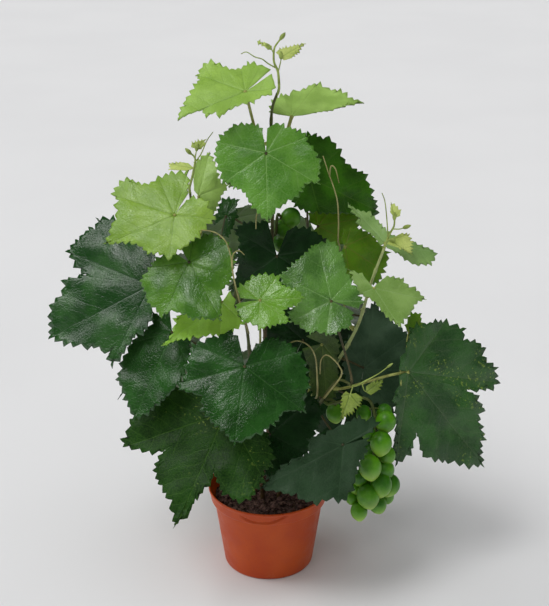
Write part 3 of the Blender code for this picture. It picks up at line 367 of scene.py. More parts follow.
def smooth_route(points, step):
    """Points about a step apart on the Catmull-Rom curve through these points."""
    ends = [points[0] * 2 - points[1]] + list(points) + [points[-1] * 2 - points[-2]]
    route = []
    for a, b, c, d in zip(ends, ends[1:], ends[2:], ends[3:]):
        count = max(1, round((c - b).length / step))
        for i in range(count):
            t = i / count
            route.append(0.5 * (2 * b + (c - a) * t + (2 * a - 5 * b + 4 * c - d) * t ** 2
                                + (3 * b - 3 * c + d - a) * t ** 3))
    return route + [points[-1]]


def cane_route(name, step=CANE_STEP):
    (x, y), bends = CANES[name]
    foot = Vector((x * MM, y * MM, SOIL_TOP))
    below = foot - Vector((0, 0, SOCKET_DEPTH - GAP))
    above = foot + Vector((0, 0, NODE_LENGTH))
    return [below] + smooth_route([above] + [at_pixel(*bend) for bend in bends], step)


def cane_end(name):
    route = cane_route(name)
    return route[-1], (route[-1] - route[-2]).normalized()


def cane_at(name, height):
    """The point on a cane's axis at this height in mm, and the cane's direction there."""
    route = cane_route(name)
    for low, high in zip(route, route[1:]):
        if high.z >= height * MM:
            share = (height * MM - low.z) / (high.z - low.z)
            return low.lerp(high, share), (high - low).normalized()
    return cane_end(name)


def stalk_base(cane, height, towards):
    """Two points square off a cane's side, the first just inside its skin."""
    axis, along = cane_at(cane, height)
    out = towards - axis
    out = (out - along * out.dot(along)).normalized()
    return [axis + out * (CANE_RADIUS - GAP), axis + out * (CANE_RADIUS + GAP + NODE_LENGTH)]


def petiole_route(cane, height, seat, back):
    """Off the cane, over in one cubic curve, and into the blade's back."""
    foot, clear = stalk_base(cane, height, seat)
    length = (seat - clear).length
    lean = clear + (clear - foot).normalized() * length * PETIOLE_LEAN
    pull = back * 0.75 * (1 + back.z) + (clear - seat).normalized() * 0.65
    reach = seat + pull * length * PETIOLE_REACH
    end = seat - back * PETIOLE_DEPTH * MM
    route = [foot]
    for i in range(PETIOLE_POINTS):
        t = i / (PETIOLE_POINTS - 1)
        route.append(clear * (1 - t) ** 3 + lean * 3 * t * (1 - t) ** 2
                     + reach * 3 * t ** 2 * (1 - t) + end * t ** 3)
    return route


def relief(leaf, u, v):
    """How far the blade bends away from the plane through its seat, in metres."""
    from_seat, midrib = way_to((u, v), leaf.seat), way_to(leaf.tip, leaf.seat)
    across = abs(from_seat.cross(midrib)) / midrib.length ** 2
    out = from_seat.length / midrib.length
    turn = atan2(from_seat.y, from_seat.x)
    return (leaf.fold * across + leaf.cup * out ** 2 + leaf.wave * out ** 2 * sin(3 * turn)) * MM


def seen_place(leaf):
    """The function that lays a pixel of a seen leaf on its blade, the blade's seat and its normal."""
    seat = at_pixel(*leaf.seat, leaf.behind)
    normal = facing_way(*leaf.facing)
    depth = (seat - EYE).dot(normal)

    def place(u, v):
        way = ray(u, v)
        flat = EYE + way * (depth / way.dot(normal))
        return flat + way.normalized() * relief(leaf, u, v)

    return place, seat, normal


def back_place(leaf):
    """As seen_place, for a leaf that repeats a seen leaf's outline on the far side."""
    mould = LEAVES[leaf.mould]
    seat = Vector(leaf.seat) * MM
    normal = facing_way(*leaf.facing)
    side = Vector((0, 0, 1)).cross(normal).normalized()
    rise = normal.cross(side)
    down = way_to(mould.tip, mould.seat).normalized()
    turn = radians(leaf.turn)
    tip_way = side * sin(turn) - rise * cos(turn)
    side_way = normal.cross(tip_way)

    def place(u, v):
        offset = way_to((u, v), mould.seat) * MM_PER_PIXEL * leaf.size
        flat = seat + tip_way * offset.dot(down) + side_way * down.cross(offset)
        return flat - normal * relief(mould, u, v)

    return place, seat, normal


# Meshes

def new_object(name, data):
    made = bpy.data.objects.new(name, data)
    bpy.context.scene.collection.objects.link(made)
    return made


class Shape:
    """Points, faces with a material number each, and named values for each point."""

    def __init__(self):
        self.points, self.faces, self.paint, self.marks = [], [], [], {}

    def add(self, points, faces, paint=0, **marks):
        """paint: the faces' material number, or a list of one for each."""
        start = len(self.points)
        self.points += [tuple(point) for point in points]
        self.faces += [tuple(start + i for i in face) for face in faces]
        self.paint += paint if isinstance(paint, list) else [paint] * len(faces)
        for name in sorted(set(marks) | set(self.marks)):
            values = self.marks.setdefault(name, [0.0] * start)
            values += [float(x) for x in marks.get(name, [0.0] * len(points))]

    def piece(self, name, materials):
        """Makes the mesh that stands for the CAD node of this name."""
        mesh = bpy.data.meshes.new(name + "_skin")
        mesh.from_pydata(self.points, [], self.faces)
        mesh.polygons.foreach_set("material_index", self.paint)
        mesh.shade_smooth()
        for mark, values in self.marks.items():
            mesh.attributes.new(mark, "FLOAT", "POINT").data.foreach_set("value", values)
        for material in materials:
            mesh.materials.append(material)
        made = new_object(name + "_skin", mesh)
        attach(made, "root")
        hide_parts(name)


def ring_faces(rings, sides):
    """The faces between rings of points that close on themselves."""
    faces = []
    for ring in range(rings - 1):
        for i in range(sides):
            a, b = ring * sides + i, ring * sides + (i + 1) % sides
            faces.append((a, b, b + sides, a + sides))
    return faces


def add_tube(shape, route, radii, sides=8, paint=0):
    """A round tube with closed ends, whose frame turns with its route. along runs from 0 to 1."""
    ways = [(b - a).normalized() for a, b in zip(route, route[1:])]
    ways = [ways[0]] + [(a + b).normalized() for a, b in zip(ways, ways[1:])] + [ways[-1]]
    side = ways[0].orthogonal().normalized()
    points = []
    for place, way, radius in zip(route, ways, radii):
        side = (side - way * side.dot(way)).normalized()
        other = way.cross(side)
        for i in range(sides):
            turn = 2 * pi * i / sides
            points.append(place + (side * cos(turn) + other * sin(turn)) * radius)
    ends = [tuple(reversed(range(sides))), tuple(range(len(points) - sides, len(points)))]
    along = [ring / (len(route) - 1) for ring in range(len(route)) for _ in range(sides)]
    shape.add(points, ring_faces(len(route), sides) + ends, paint, along=along)


def add_stem(shape, route, ends, sides=8, paint=0):
    """A tube whose radius runs evenly from one end's to the other's, in mm."""
    start, end, last = ends[0] * MM, ends[1] * MM, len(route) - 1
    add_tube(shape, route, [start + (end - start) * i / last for i in range(last + 1)], sides, paint)


def ball(columns, rows):
    """The points of a unit ball, row by row from its top, and its faces."""
    spots = []
    for row in range(rows + 1):
        polar = pi * row / rows
        for column in range(columns):
            turn = 2 * pi * column / columns
            spots.append(Vector((sin(polar) * cos(turn), sin(polar) * sin(turn), cos(polar))))
    return spots, [(a, d, c, b) for a, b, c, d in ring_faces(rows + 1, columns)]


# Blades

# The teeth: half a tooth's length along the edge and a tooth's depth, in pixels, of large and of young
# leaves, and the share of the way to the edge at which they begin. Then how uneven they are: the least
# and most of a length and of a depth, as shares, how far a tip or notch shifts and a tip leans, and the
# shares of the depth that tips and notches stand out and in, between corners and at them
HALF_TOOTH = 3.9
TOOTH = 4.6
YOUNG_HALF_TOOTH = 1.7
YOUNG_TOOTH = 4.6
TOOTHED_SHARE = 0.86
LENGTH_SPREAD, DEPTH_SPREAD = (0.8, 1.25), (0.45, 1.3)
SHIFT, LEAN = 0.22, 0.3
TIP, NOTCH, CORNER_TIP, CORNER_NOTCH = 0.25, 0.7, 0.35, 0.15

# A blade's rings of points, of large and of young leaves, the share of the relief that young leaves
# have, and the share of the way to the edge at which the innermost ring lies
BLADE_RINGS = 16
YOUNG_BLADE_RINGS = 8
YOUNG_BLADE_SIZE = 0.6
INNER_SHARE = 0.012

# The veins: how near the longest spoke of a lobe is looked for, the shortest one's share of the
# longest, the least angle between two, how many there are at most, and the side veins' slope to them
LOBE_WINDOW = radians(13)
SHORTEST_LOBE = 0.3
VEIN_ANGLE = radians(36)
MOST_VEINS = 6
SIDE_VEIN_SLOPE = 0.85

# The upper side's relief: mm of height, and pixels of width from the vein
QUILT, GROOVE, VALLEY, RIPPLE = 0.12, 0.35, 1.9, 3.0
GROOVE_WIDTH, VALLEY_WIDTH = 1.4, 10
RIPPLE_LENGTH, WRINKLE_LENGTH = 20, 7


def turn_of(a, b, c):
    """Twice the signed area of the corner at b."""
    return (b[0] - a[0]) * (c[1] - b[1]) - (b[1] - a[1]) * (c[0] - b[0])


def toothed(outline, seat, rng, tooth, half):
    """Points on the outline, and how far each moves to make coarse, uneven teeth there. A convex corner
    keeps a tooth's tip, and a hollow one a notch."""
    points = [Vector(p) for p in outline]
    seat = Vector(seat)
    area = sum(a.x * b.y - b.x * a.y for a, b in zip(points, points[1:] + points[:1]))
    sign = 1 if area > 0 else -1
    last = len(points) - 1
    peaks = [i in (0, last) or sign * turn_of(points[i - 1], points[i], points[i + 1]) > 0
             for i in range(len(points))]
    fine, moves = [], []
    for i in range(last):
        a, b = points[i], points[i + 1]
        length = (b - a).length
        out = Vector((b.y - a.y, a.x - b.x)).normalized() * sign
        alike = peaks[i] == peaks[i + 1]
        count = max(1, round(length / half / rng.uniform(*LENGTH_SPREAD)))
        if (count % 2 == 0) != alike:
            count += 1 if length / half > count else -1
        count = max(count, 0 if alike else 1)
        beside_slot = i in (0, last - 1)
        depth = tooth * min(1, length / max(count, 1) / half) * (0.1 if beside_slot else 1)
        lean = LEAN if (b - seat).length > (a - seat).length else -LEAN
        knots = [(0, peaks[i])]
        for k in range(1, count):
            peak = peaks[i] == (k % 2 == 0)
            shift = rng.uniform(-SHIFT, SHIFT) + (lean if peak else 0)
            knots.append(((k + shift) / count, peak))
        knots.append((1, peaks[i + 1]))
        highs = []
        for t, peak in knots:
            size = rng.uniform(*DEPTH_SPREAD) * depth
            tip, notch = (CORNER_TIP, CORNER_NOTCH) if t in (0, 1) else (TIP, NOTCH)
            highs.append(tip * size if peak else -notch * size)
        for (t, _), (t_next, _), high, high_next in zip(knots, knots[1:], highs, highs[1:]):
            fine += [a.lerp(b, t), a.lerp(b, (t + t_next) / 2)]
            moves += [out * high, out * (0.5 * (high + high_next) + 0.04 * depth)]
    return fine + [points[-1]], moves + [Vector((0, 0))]


def main_veins(outline, seat, tip):
    """The directions, in the picture, from the seat to the tips of the lobes, sorted."""
    ways = [way_to(point, seat) for point in outline]
    angles = np.unwrap([atan2(way.y, way.x) for way in ways])
    chosen = [min(range(len(ways)), key=lambda i: way_to(outline[i], tip).length)]
    longest = max(way.length for way in ways)
    for i in sorted(range(1, len(ways) - 1), key=lambda i: -ways[i].length):
        near = [j for j in range(len(ways)) if abs(angles[j] - angles[i]) < LOBE_WINDOW]
        if ways[i].length < max(ways[j].length for j in near) or ways[i].length < SHORTEST_LOBE * longest:
            continue
        if all(abs(angles[i] - angles[j]) > VEIN_ANGLE for j in chosen):
            chosen.append(i)
    return sorted(float(angles[i]) for i in chosen[:MOST_VEINS])


def vein_marks(offset, veins, angle, spacing):
    """For each point: distance to its main vein in pixels, side-vein count and their fade."""
    far = np.hypot(offset[..., 0], offset[..., 1])
    angle = np.broadcast_to(angle, far.shape)
    apart = angle[..., None] - np.array(veins)
    nearest = np.abs(apart).argmin(axis=-1)
    own = np.take_along_axis(apart, nearest[..., None], -1)[..., 0]
    across = far * np.abs(np.sin(np.clip(own, -1.5, 1.5)))
    along = far * np.cos(np.clip(own, -1.5, 1.5)) - across * SIDE_VEIN_SLOPE
    side = along / spacing + 0.45 * (own > 0)
    bounds = (np.array(veins[1:]) + np.array(veins[:-1])) / 2
    fade = np.ones_like(far)
    if len(bounds):
        to_bound = np.abs(angle[..., None] - bounds).min(axis=-1)
        fade = np.clip(far * np.sin(np.clip(to_bound, 0, 1.5)) / 4 - 0.4, 0, 1)
    return across, side, fade * np.clip(along / 5 - 0.4, 0, 1)


def ripple_at(u, v, size):
    return (noise.noise(Vector((u / RIPPLE_LENGTH, v / RIPPLE_LENGTH, size)))
            + 0.08 * noise.noise(Vector((u / WRINKLE_LENGTH, v / WRINKLE_LENGTH, size))))


def add_blade(shape, place, normal, mould, size, rng, tooth, half, rings=BLADE_RINGS):
    """A thin blade: its upper side, its underside in the second material, and the rim between them."""
    edge, moves = toothed(mould.outline, mould.seat, rng, tooth, half)
    columns = len(edge)
    seat = np.array(mould.seat, float)
    spokes = np.array([tuple(p) for p in edge]) - seat
    shares = (np.arange(rings + 1) / rings)[:, None, None] ** 0.85
    shares[0] = INNER_SHARE
    near_rim = np.clip((shares - TOOTHED_SHARE) / (1 - TOOTHED_SHARE), 0, 1) ** 1.5
    grid = seat + spokes * shares + np.array([tuple(p) for p in moves]) * near_rim
    spacing = min(15, max(4, 0.19 * way_to(mould.tip, mould.seat).length))
    across, side, fade = vein_marks(
        grid - seat, main_veins(mould.outline, mould.seat, mould.tip),
        np.unwrap(np.arctan2(spokes[:, 1], spokes[:, 0])), spacing)

    points = np.array([[place(u, v) for u, v in row] for row in grid])
    normals = np.cross(np.gradient(points, axis=0), np.gradient(points, axis=1))
    normals /= np.linalg.norm(normals, axis=-1, keepdims=True) + 1e-12
    normals *= np.where((normals @ np.array(normal)) < 0, -1.0, 1.0)[..., None]
    share = shares[..., 0] * np.ones(columns)
    quilt = np.abs(np.sin(np.pi * side)) ** 0.8 * fade
    groove = np.exp(-(across / GROOVE_WIDTH) ** 2)
    valley = 1 - np.exp(-(across / VALLEY_WIDTH) ** 2)
    ripple = np.array([[ripple_at(u, v, size) for u, v in row] for row in grid])
    lift = (QUILT * quilt - GROOVE * groove * (1 - 0.6 * share)
            + VALLEY * valley * np.minimum(1, 1.4 * share) + RIPPLE * ripple * share) * MM * size
    points = points + normals * lift[..., None]
    under = points - normals * BLADE_THICKNESS

    first = np.cross(points[1, 1] - points[0, 0], points[1, 0] - points[0, 0])
    order = -1 if np.array(normal) @ first < 0 else 1
    count = (rings + 1) * columns
    upper = []
    for a in (r * columns + c for r in range(rings) for c in range(columns - 1)):
        upper.append((a, a + 1, a + 1 + columns, a + columns)[::order])
    lower = [tuple(i + count for i in face[::-1]) for face in upper]
    border = [(0, c) for c in range(columns)] + [(r, columns - 1) for r in range(1, rings + 1)]
    border += [(rings, c) for c in range(columns - 2, -1, -1)] + [(r, 0) for r in range(rings - 1, 0, -1)]
    ids = [r * columns + c for r, c in border]
    rim = []
    for pair in zip(ids, ids[1:] + ids[:1]):
        a, b = pair[::order]
        rim.append((b, a, a + count, b + count))
    marks = {"across": across, "side": side, "fade": fade, "out": share}
    shape.add(np.concatenate([points.reshape(-1, 3), under.reshape(-1, 3)]), upper + lower + rim,
              [0] * len(upper) + [1] * len(lower) + [0] * len(rim),
              **{name: list(values.ravel()) * 2 for name, values in marks.items()})


# Materials. A noise's or cells' first number is how many there are in a metre. A colour of three
# numbers is one as seen, 0 to 255.

def srgb(colour):
    """A colour as seen, 0 to 255, as the linear one that a shader takes."""
    return tuple(((c / 255 + 0.055) / 1.055) ** 2.4 if c > 10 else c / 255 / 12.92 for c in colour) + (1,)


class Paint:
    """A material whose nodes are made by short calls. colour is what has been painted so far."""

    def __init__(self, name, specular=0.5):
        self.material = bpy.data.materials.new(name)
        self.material.use_nodes = True
        self.tree = self.material.node_tree
        self.shader = self.tree.nodes["Principled BSDF"]
        self.shader.inputs["Specular IOR Level"].default_value = specular
        self.place = self.node("TexCoord").outputs["Object"]
        self.colour = None

    def node(self, kind, **values):
        """A new node, with these links or numbers on its inputs."""
        made = self.tree.nodes.new("ShaderNode" + kind)
        for name, value in values.items():
            self.link(value, made.inputs[name])
        return made

    def link(self, value, socket):
        if isinstance(value, bpy.types.NodeSocket):
            self.tree.links.new(value, socket)
        else:
            seen = isinstance(value, tuple) and len(value) == 3
            socket.default_value = srgb(value) if seen else value

    def mark(self, name):
        made = self.node("Attribute")
        made.attribute_name = name
        return made.outputs["Fac"]

    def noise(self, scale, detail=3, roughness=0.55):
        return self.node("TexNoise", Vector=self.place, Scale=scale, Detail=detail,
                         Roughness=roughness).outputs["Fac"]

    def cells(self, scale, feature="DISTANCE_TO_EDGE"):
        made = self.node("TexVoronoi", Vector=self.place, Scale=scale)
        made.feature = feature
        return made.outputs["Distance"]

    def math(self, kind, *values):
        made = self.node("Math")
        made.operation = kind
        for value, socket in zip(values, made.inputs):
            self.link(value, socket)
        return made.outputs[0]

    def times(self, a, b):
        return self.math("MULTIPLY", a, b)

    def plus(self, a, b):
        return self.math("ADD", a, b)

    def band(self, value, low, high, start=0.0, end=1.0):
        """value from low to high, made start to end, smoothly, and no further."""
        made = self.node("MapRange")
        made.interpolation_type = "SMOOTHSTEP"
        for socket, number in zip(("Value", "From Min", "From Max", "To Min", "To Max"),
                                  (value, low, high, start, end)):
            self.link(number, made.inputs[socket])
        return made.outputs[0]

    def mottle(self, share, a, b):
        """The ground colour, between two."""
        made = self.node("Mix")
        made.data_type = "RGBA"
        for socket, value in ((0, share), (6, a), (7, b)):
            self.link(value, made.inputs[socket])
        self.colour = made.outputs[2]

    def over(self, share, colour):
        """Lays a share of this colour over what has been painted."""
        self.mottle(share, self.colour, colour)

    def bump(self, height, distance, strength=1.0, under=None):
        made = self.node("Bump", Distance=distance, Strength=strength, Height=height)
        if under:
            self.link(under, made.inputs["Normal"])
        return made.outputs[0]

    def done(self, roughness, normal=None):
        self.link(self.colour, self.shader.inputs["Base Color"])
        self.link(roughness, self.shader.inputs["Roughness"])
        if normal:
            self.link(normal, self.shader.inputs["Normal"])
        return self.material


Look = namedtuple("Look", "face deep vein strength shine haze specks side gloss",
                  defaults=(0.45, 0.42, 0.0, 0.0, 0.045, 0.5))

# How each kind of leaf looks. face and deep: the colours it varies between. vein: the veins' colour and
# their strength. shine: roughness. haze: grey along the veins. specks: share of yellow specks. side:
# the side veins' width as a share of their spacing. gloss: the shader's specular level.
LOOKS = {
    LIGHT: Look((146, 182, 72), (124, 162, 56), (108, 140, 58), 0.4, 0.24),
    MID: Look((94, 142, 46), (64, 112, 30), (54, 92, 32), 0.4, 0.2, gloss=0.65),
    DARK: Look((38, 82, 30), (22, 58, 18), (66, 114, 50), 0.3, 0.18),
    OLIVE: Look((94, 148, 16), (70, 122, 10), (132, 120, 50), 0.35, 0.32),
    "ribbed": Look((92, 148, 42), (68, 124, 28), (140, 182, 102), 0.5, 0.24),
    "pale": Look((160, 198, 88), (142, 180, 74), (112, 150, 62), 0.3, 0.30),
    "boat": Look((168, 204, 104), (144, 180, 84), (140, 176, 84), 0.12, 0.34),
    # Painted sheen: the dark leaves' colour lightened for leaf_left_large, which also gets more gloss
    "sheen_lightened": Look((48, 90, 38), (30, 68, 26), (34, 66, 36), 0.5, 0.2, gloss=0.7),
    # Painted shade: a darker copy of the dark leaves' colour, for the leaves low in the plant and deep inside
    # it
    "painted_shade": Look((28, 64, 26), (14, 44, 14), (40, 72, 36), 0.3, 0.3, gloss=0.3),
    # Painted light: a lighter copy of the light leaves' colour, for leaf_left_light_low, which the leaf above
    # it shades
    "painted_light": Look((164, 218, 70), (142, 196, 56), (160, 196, 100), 0.3, 0.34),
    "fresh": Look((108, 162, 42), (90, 144, 32), (142, 176, 92), 0.4, 0.2, gloss=0.75),
    "grey": Look((142, 178, 98), (118, 156, 78), (146, 180, 116), 0.4, 0.36),
    "slate": Look((42, 70, 42), (26, 54, 26), (60, 90, 56), 0.3, 0.46, gloss=0.35),
    "shaded": Look((66, 96, 28), (34, 60, 14), (104, 124, 56), 0.4, 0.44),
    "soft": Look((144, 180, 92), (118, 156, 66), (154, 186, 116), 0.35, 0.32),
    "large": Look((48, 94, 38), (28, 68, 26), (92, 112, 80), 0.3, 0.28, 0.06, 0.035, gloss=0.3),
    # Painted light: a lighter copy of the slate leaves' colour, for leaf_right_shade, which lies behind the
    # large right leaf
    "slate_painted_light": Look((72, 100, 74), (50, 78, 54), (84, 112, 82), 0.3, 0.46, gloss=0.35),
    "lit": Look((96, 146, 58), (62, 108, 36), (134, 176, 100), 0.4, 0.2, gloss=0.9),
    "specked": Look((28, 64, 18), (14, 44, 12), (82, 124, 44), 0.35, 0.34, 0.0, 0.025, gloss=0.15),
    "grassy": Look((50, 104, 10), (28, 70, 4), (84, 122, 36), 0.35, 0.32, gloss=0.25),
}
# Leaves whose look isn't that of their colour. Some of these looks are lighter and darker copies of a colour:
# painted light and painted shade
OWN_LOOKS = {
    "leaf_top_centre": "ribbed", "leaf_top_left": "pale", "leaf_left_light_low": "painted_light",
    "leaf_right_shoot": "grey", "leaf_right_shade": "slate_painted_light", "leaf_low_right": "slate",
    "leaf_right_large": "large", "leaf_low_left": "specked", "leaf_upper_right": "grassy",
    "leaf_inner_right": OLIVE, "leaf_left_behind": "boat", "leaf_centre_light": "fresh",
    "leaf_top_right": "boat", "leaf_centre_inner": "shaded", "leaf_centre_right": "lit",
    "leaf_left_large": "sheen_lightened", "leaf_low_dark": "painted_shade", "leaf_centre_dark": "painted_shade",
    "leaf_inner_low": "painted_shade", "leaf_inner_mid": "painted_shade", "leaf_right_light": "soft",
}
YOUNG = Look((208, 222, 124), (176, 196, 92), (140, 166, 66), 0.5, 0.42, side=0.12)
# Painted shade: a darker copy of the young leaves' colour, for the shoot low in the plant
YOUNG_SHADED = Look((146, 168, 64), (112, 136, 42), (84, 110, 36), 0.6, 0.42, side=0.14)


def leaf_paint(name, look, under=False):
    """One side of a leaf: mottled, with veins, a fine net between them and an embossed skin."""
    paint = Paint(name, look.gloss * (0.5 if under else 1))
    across, side, fade, out = (paint.mark(m) for m in ("across", "side", "fade", "out"))
    grain = paint.noise(620, 4, 0.7)
    ribs = paint.cells(400)
    paint.mottle(paint.band(paint.noise(38, 4), 0.38, 0.62), look.deep, look.face)
    paint.over(paint.band(grain, 0.3, 0.7, 0.0, 0.22), look.vein)
    paint.over(paint.band(ribs, 0.0, 0.09, 0.3 * look.strength, 0.0), look.vein)
    side = paint.plus(side, paint.band(paint.noise(60, 2), 0.0, 1.0, -0.25, 0.25))
    side_gap = paint.math("PINGPONG", side, 0.5)
    side_vein = paint.times(paint.band(side_gap, 0.2 * look.side, look.side, 1.0, 0.0), fade)
    width = paint.math("MULTIPLY_ADD", out, -0.55, 0.95)
    main_vein = paint.band(paint.math("DIVIDE", across, width), 0.35, 1.0, 1.0, 0.0)
    veins = paint.math("MAXIMUM", main_vein, paint.times(side_vein, 0.6))
    paint.over(paint.times(veins, look.strength), look.vein)
    if look.haze:
        spread = paint.math("MAXIMUM", paint.band(across, 0.5, 9.0, 1.0, 0.0),
                            paint.times(paint.band(side_gap, 0.0, 0.25, 0.8, 0.0), fade))
        hazy = paint.times(spread, paint.band(paint.noise(70, 3), 0.35, 0.7, 0.0, look.haze))
        paint.over(hazy, (118, 116, 92))
    if look.specks:
        spots = paint.band(paint.noise(340, 2), 0.62 - look.specks, 0.70 - look.specks)
        patches = paint.band(paint.noise(26, 2), 0.52, 0.64, 0.0, 0.65)
        paint.over(paint.times(spots, patches), (132, 156, 66))
    if under:
        paint.over(0.4, (128, 142, 108))
    quilt = paint.times(paint.band(side_gap, 0.0, 0.3), fade)
    swell = paint.times(quilt, paint.band(across, 0.0, 3.0))
    coarse = paint.math("MULTIPLY_ADD", paint.noise(170, 4, 0.6), 0.18, paint.times(swell, 0.14))
    coarse = paint.math("MULTIPLY_ADD", veins, -0.22, coarse)
    rough = paint.bump(coarse, 0.9 * MM, -0.6 if under else 0.6)
    fine = paint.plus(paint.times(paint.band(ribs, 0.0, 0.16), 0.6), grain)
    fine = paint.plus(fine, paint.noise(380, 3, 0.6))
    shine = paint.band(paint.noise(55, 4), 0.3, 0.7, look.shine + (0.2 if under else -0.04), look.shine + 0.1)
    return paint.done(shine, paint.bump(fine, 0.3 * MM, 0.45, rough))


def two_sides(name, look):
    return leaf_paint(name, look), leaf_paint(name + "_under", look, True)


def stem_paint(name, face, deep, end=None, turn=0.45):
    """end: the colour towards the far end, if it is another one, from the share of the length turn on."""
    paint = Paint(name)
    paint.mottle(paint.band(paint.noise(90, 4), 0.35, 0.65), deep, face)
    if end:
        reach = paint.plus(paint.mark("along"), paint.band(paint.noise(50, 3), 0.0, 1.0, -0.12, 0.12))
        paint.over(paint.band(reach, turn, turn + 0.4, 0.0, 0.9), end)
    dots = paint.band(paint.noise(260, 5, 0.7), 0.45, 0.7, 0.0, 0.5)
    paint.over(dots, tuple(0.6 * c for c in deep))
    height = paint.plus(paint.noise(700, 4), paint.noise(240, 3))
    shine = paint.band(paint.noise(150, 3), 0.3, 0.7, 0.42, 0.65)
    return paint.done(shine, paint.bump(height, 0.25 * MM, 0.7))


def pot_paint():
    """Moulded plastic: faint rings, a fine grain, dusty patches and dark flecks."""
    paint = Paint("pot_plastic", 0.35)
    height = paint.node("SeparateXYZ", Vector=paint.place).outputs["Z"]
    paint.mottle(paint.band(paint.noise(28, 4), 0.3, 0.7), (182, 64, 8), (196, 80, 16))
    dusty = paint.band(paint.noise(75, 6, 0.7), 0.56, 0.8)
    dust = paint.times(dusty, paint.band(height, 0.0, 0.03, 0.5, 0.12))
    paint.over(dust, (194, 104, 60))
    paint.over(paint.band(paint.noise(900, 2), 0.62, 0.72, 0.0, 0.35), (140, 60, 34))
    rings = paint.times(paint.math("SINE", paint.times(height, 2 * pi / (1.4 * MM))), 0.05)
    grain = paint.plus(paint.noise(1500, 3), paint.times(paint.noise(60, 3), 0.8))
    shine = paint.band(paint.noise(110, 4), 0.3, 0.7, 0.34, 0.52)
    return paint.done(shine, paint.bump(paint.plus(rings, grain), 0.12 * MM, 0.6))


def soil_paint():
    paint = Paint("soil_fill", 0.2)
    damp = paint.band(paint.noise(260, 5, 0.7), 0.35, 0.68)
    paint.mottle(damp, (56, 40, 38), (118, 90, 82))
    paint.over(paint.band(paint.cells(900, "F1"), 0.1, 0.35, 0.6, 0.0), (128, 98, 82))
    height = paint.plus(paint.noise(500, 5, 0.7), paint.cells(400, "F1"))
    return paint.done(paint.band(damp, 0, 1, 0.8, 0.98), paint.bump(height, 1.2 * MM))


def grape_paint():
    """Soft plastic berries: waxy bloom, paler low down, which is partly their own colour and partly painted
    bounce light, faint dots.
    """
    paint = Paint("grape_skin")
    paint.mottle(paint.band(paint.noise(42, 3), 0.35, 0.65), (44, 104, 4), (84, 146, 8))
    # Paler and yellower towards each berry's point: partly the berries' own colour, partly painted light
    # thrown up from the floor
    paint.over(paint.band(paint.mark("end"), 0.45, 1.0, 0.0, 0.8), (170, 204, 84))
    paint.over(paint.band(paint.noise(150, 4), 0.5, 0.75, 0.0, 0.08), (170, 195, 130))
    paint.over(paint.band(paint.noise(900, 2), 0.66, 0.74, 0.0, 0.3), (60, 110, 30))
    paint.shader.inputs["Subsurface Weight"].default_value = 0.3
    paint.shader.inputs["Subsurface Radius"].default_value = (0.6, 1.0, 0.3)
    paint.shader.inputs["Subsurface Scale"].default_value = 3 * MM
    shine = paint.band(paint.noise(90, 3), 0.3, 0.7, 0.36, 0.5)
    return paint.done(shine, paint.bump(paint.noise(260, 3), 0.2 * MM, 0.5))


def floor_paint():
    paint = Paint("floor_pale", 0.1)
    paint.mottle(paint.band(paint.noise(2.5, 2), 0.3, 0.7), (0.80, 0.80, 0.806, 1), (0.82, 0.82, 0.825, 1))
    return paint.done(0.9)


# Pieces

# Canes, in mm: from the foot to the first node, the least and most between two, the end that has
# none, and half a swelling's length. Then the shares of the radius by which a cane thins out, swells at
# a node and varies
FIRST_NODE, NODE_STEP, NODELESS_END, SWELLING = 30, (34, 52), 8, 2.6
THINNING, SWELL, KNOB = 0.46, 0.2, 0.05
# Petioles that aren't brown or of the usual width: their colour and width
PETIOLES = {
    "leaf_top_left": ("light", 1.3), "leaf_top_right": ("light", 1.6), "leaf_right_large": ("light", 1.3)}
USUAL_WIDTH = 1.05
# A petiole's middle as a share of its radius, then how much thicker its foot and its head are, and over
# what share of its length
PETIOLE_MIDDLE, PETIOLE_FOOT, PETIOLE_HEAD = 0.95, (0.5, 0.05), (0.2, 0.06)
# How far apart the rings of thin, middling and thick stems are
THIN_STEP, MIDDLING_STEP, THICK_STEP = 2 * MM, 2.5 * MM, 3 * MM
# Radii in mm at the start and end of stems, and a shoot's bud: how far back it starts, length, radius
TENDRIL_STEM, TENDRIL_BRANCH = (1.0, 0.5), (0.7, 0.4)
SHOOT_STEM, SHOOT_TWIG = (1.3, 0.75), (0.65, 0.4)
BUNCH_STALK, BERRY_STALK = (1.6, 1.1), (0.8, 1.1)
FIBRE_STEM = (0.28, 0.28)
BUD_BACK, BUD_LENGTH, BUD_RADIUS = 3, 8, 2.0
NODE_BUD_RADII = (1.3, 1.1, 0.3)
LOW_SHOOT_SIZE = 0.6
# Berries: how far above one its stalk leaves the bunch's, its points around and from end to end, then
# shares of its radius: unevenness, length, the point at its end, and its lean
PEDICEL_RISE = Vector((0, 0, 6 * MM))
BERRY_COLUMNS, BERRY_ROWS = 32, 22
BERRY_UNEVENNESS, BERRY_LENGTH, BERRY_POINT, BERRY_LEAN = 0.012, 1.12, 0.16, 0.35
# The soil: mm of roughness and of its dome, how far it reaches into the wall, and the points of its top
# from the middle and around. Its crumbs' least and most size, as the root of mm, and its fibres' length
SOIL_ROUGHNESS, SOIL_DOME = 2.4, 1.6
SOIL_IN_WALL = 0.4 * MM
SOIL_RINGS, SOIL_STEPS = 44, 150
CRUMB_SIZE, FIBRE_LENGTH = (0.6, 2.0), (3, 9)
# Pixels along edges that are rolled over and show the paler underside, and a roll's radius at its ends
# and between
ROLLED_EDGES = {"leaf_right_large": (
    [(409, 331), (407, 341), (407, 352)], [(402, 358), (400.5, 366), (400.5, 376), (401, 386)])}
ROLL_END, ROLL_RADIUS = 0.3 * MM, 0.75 * MM


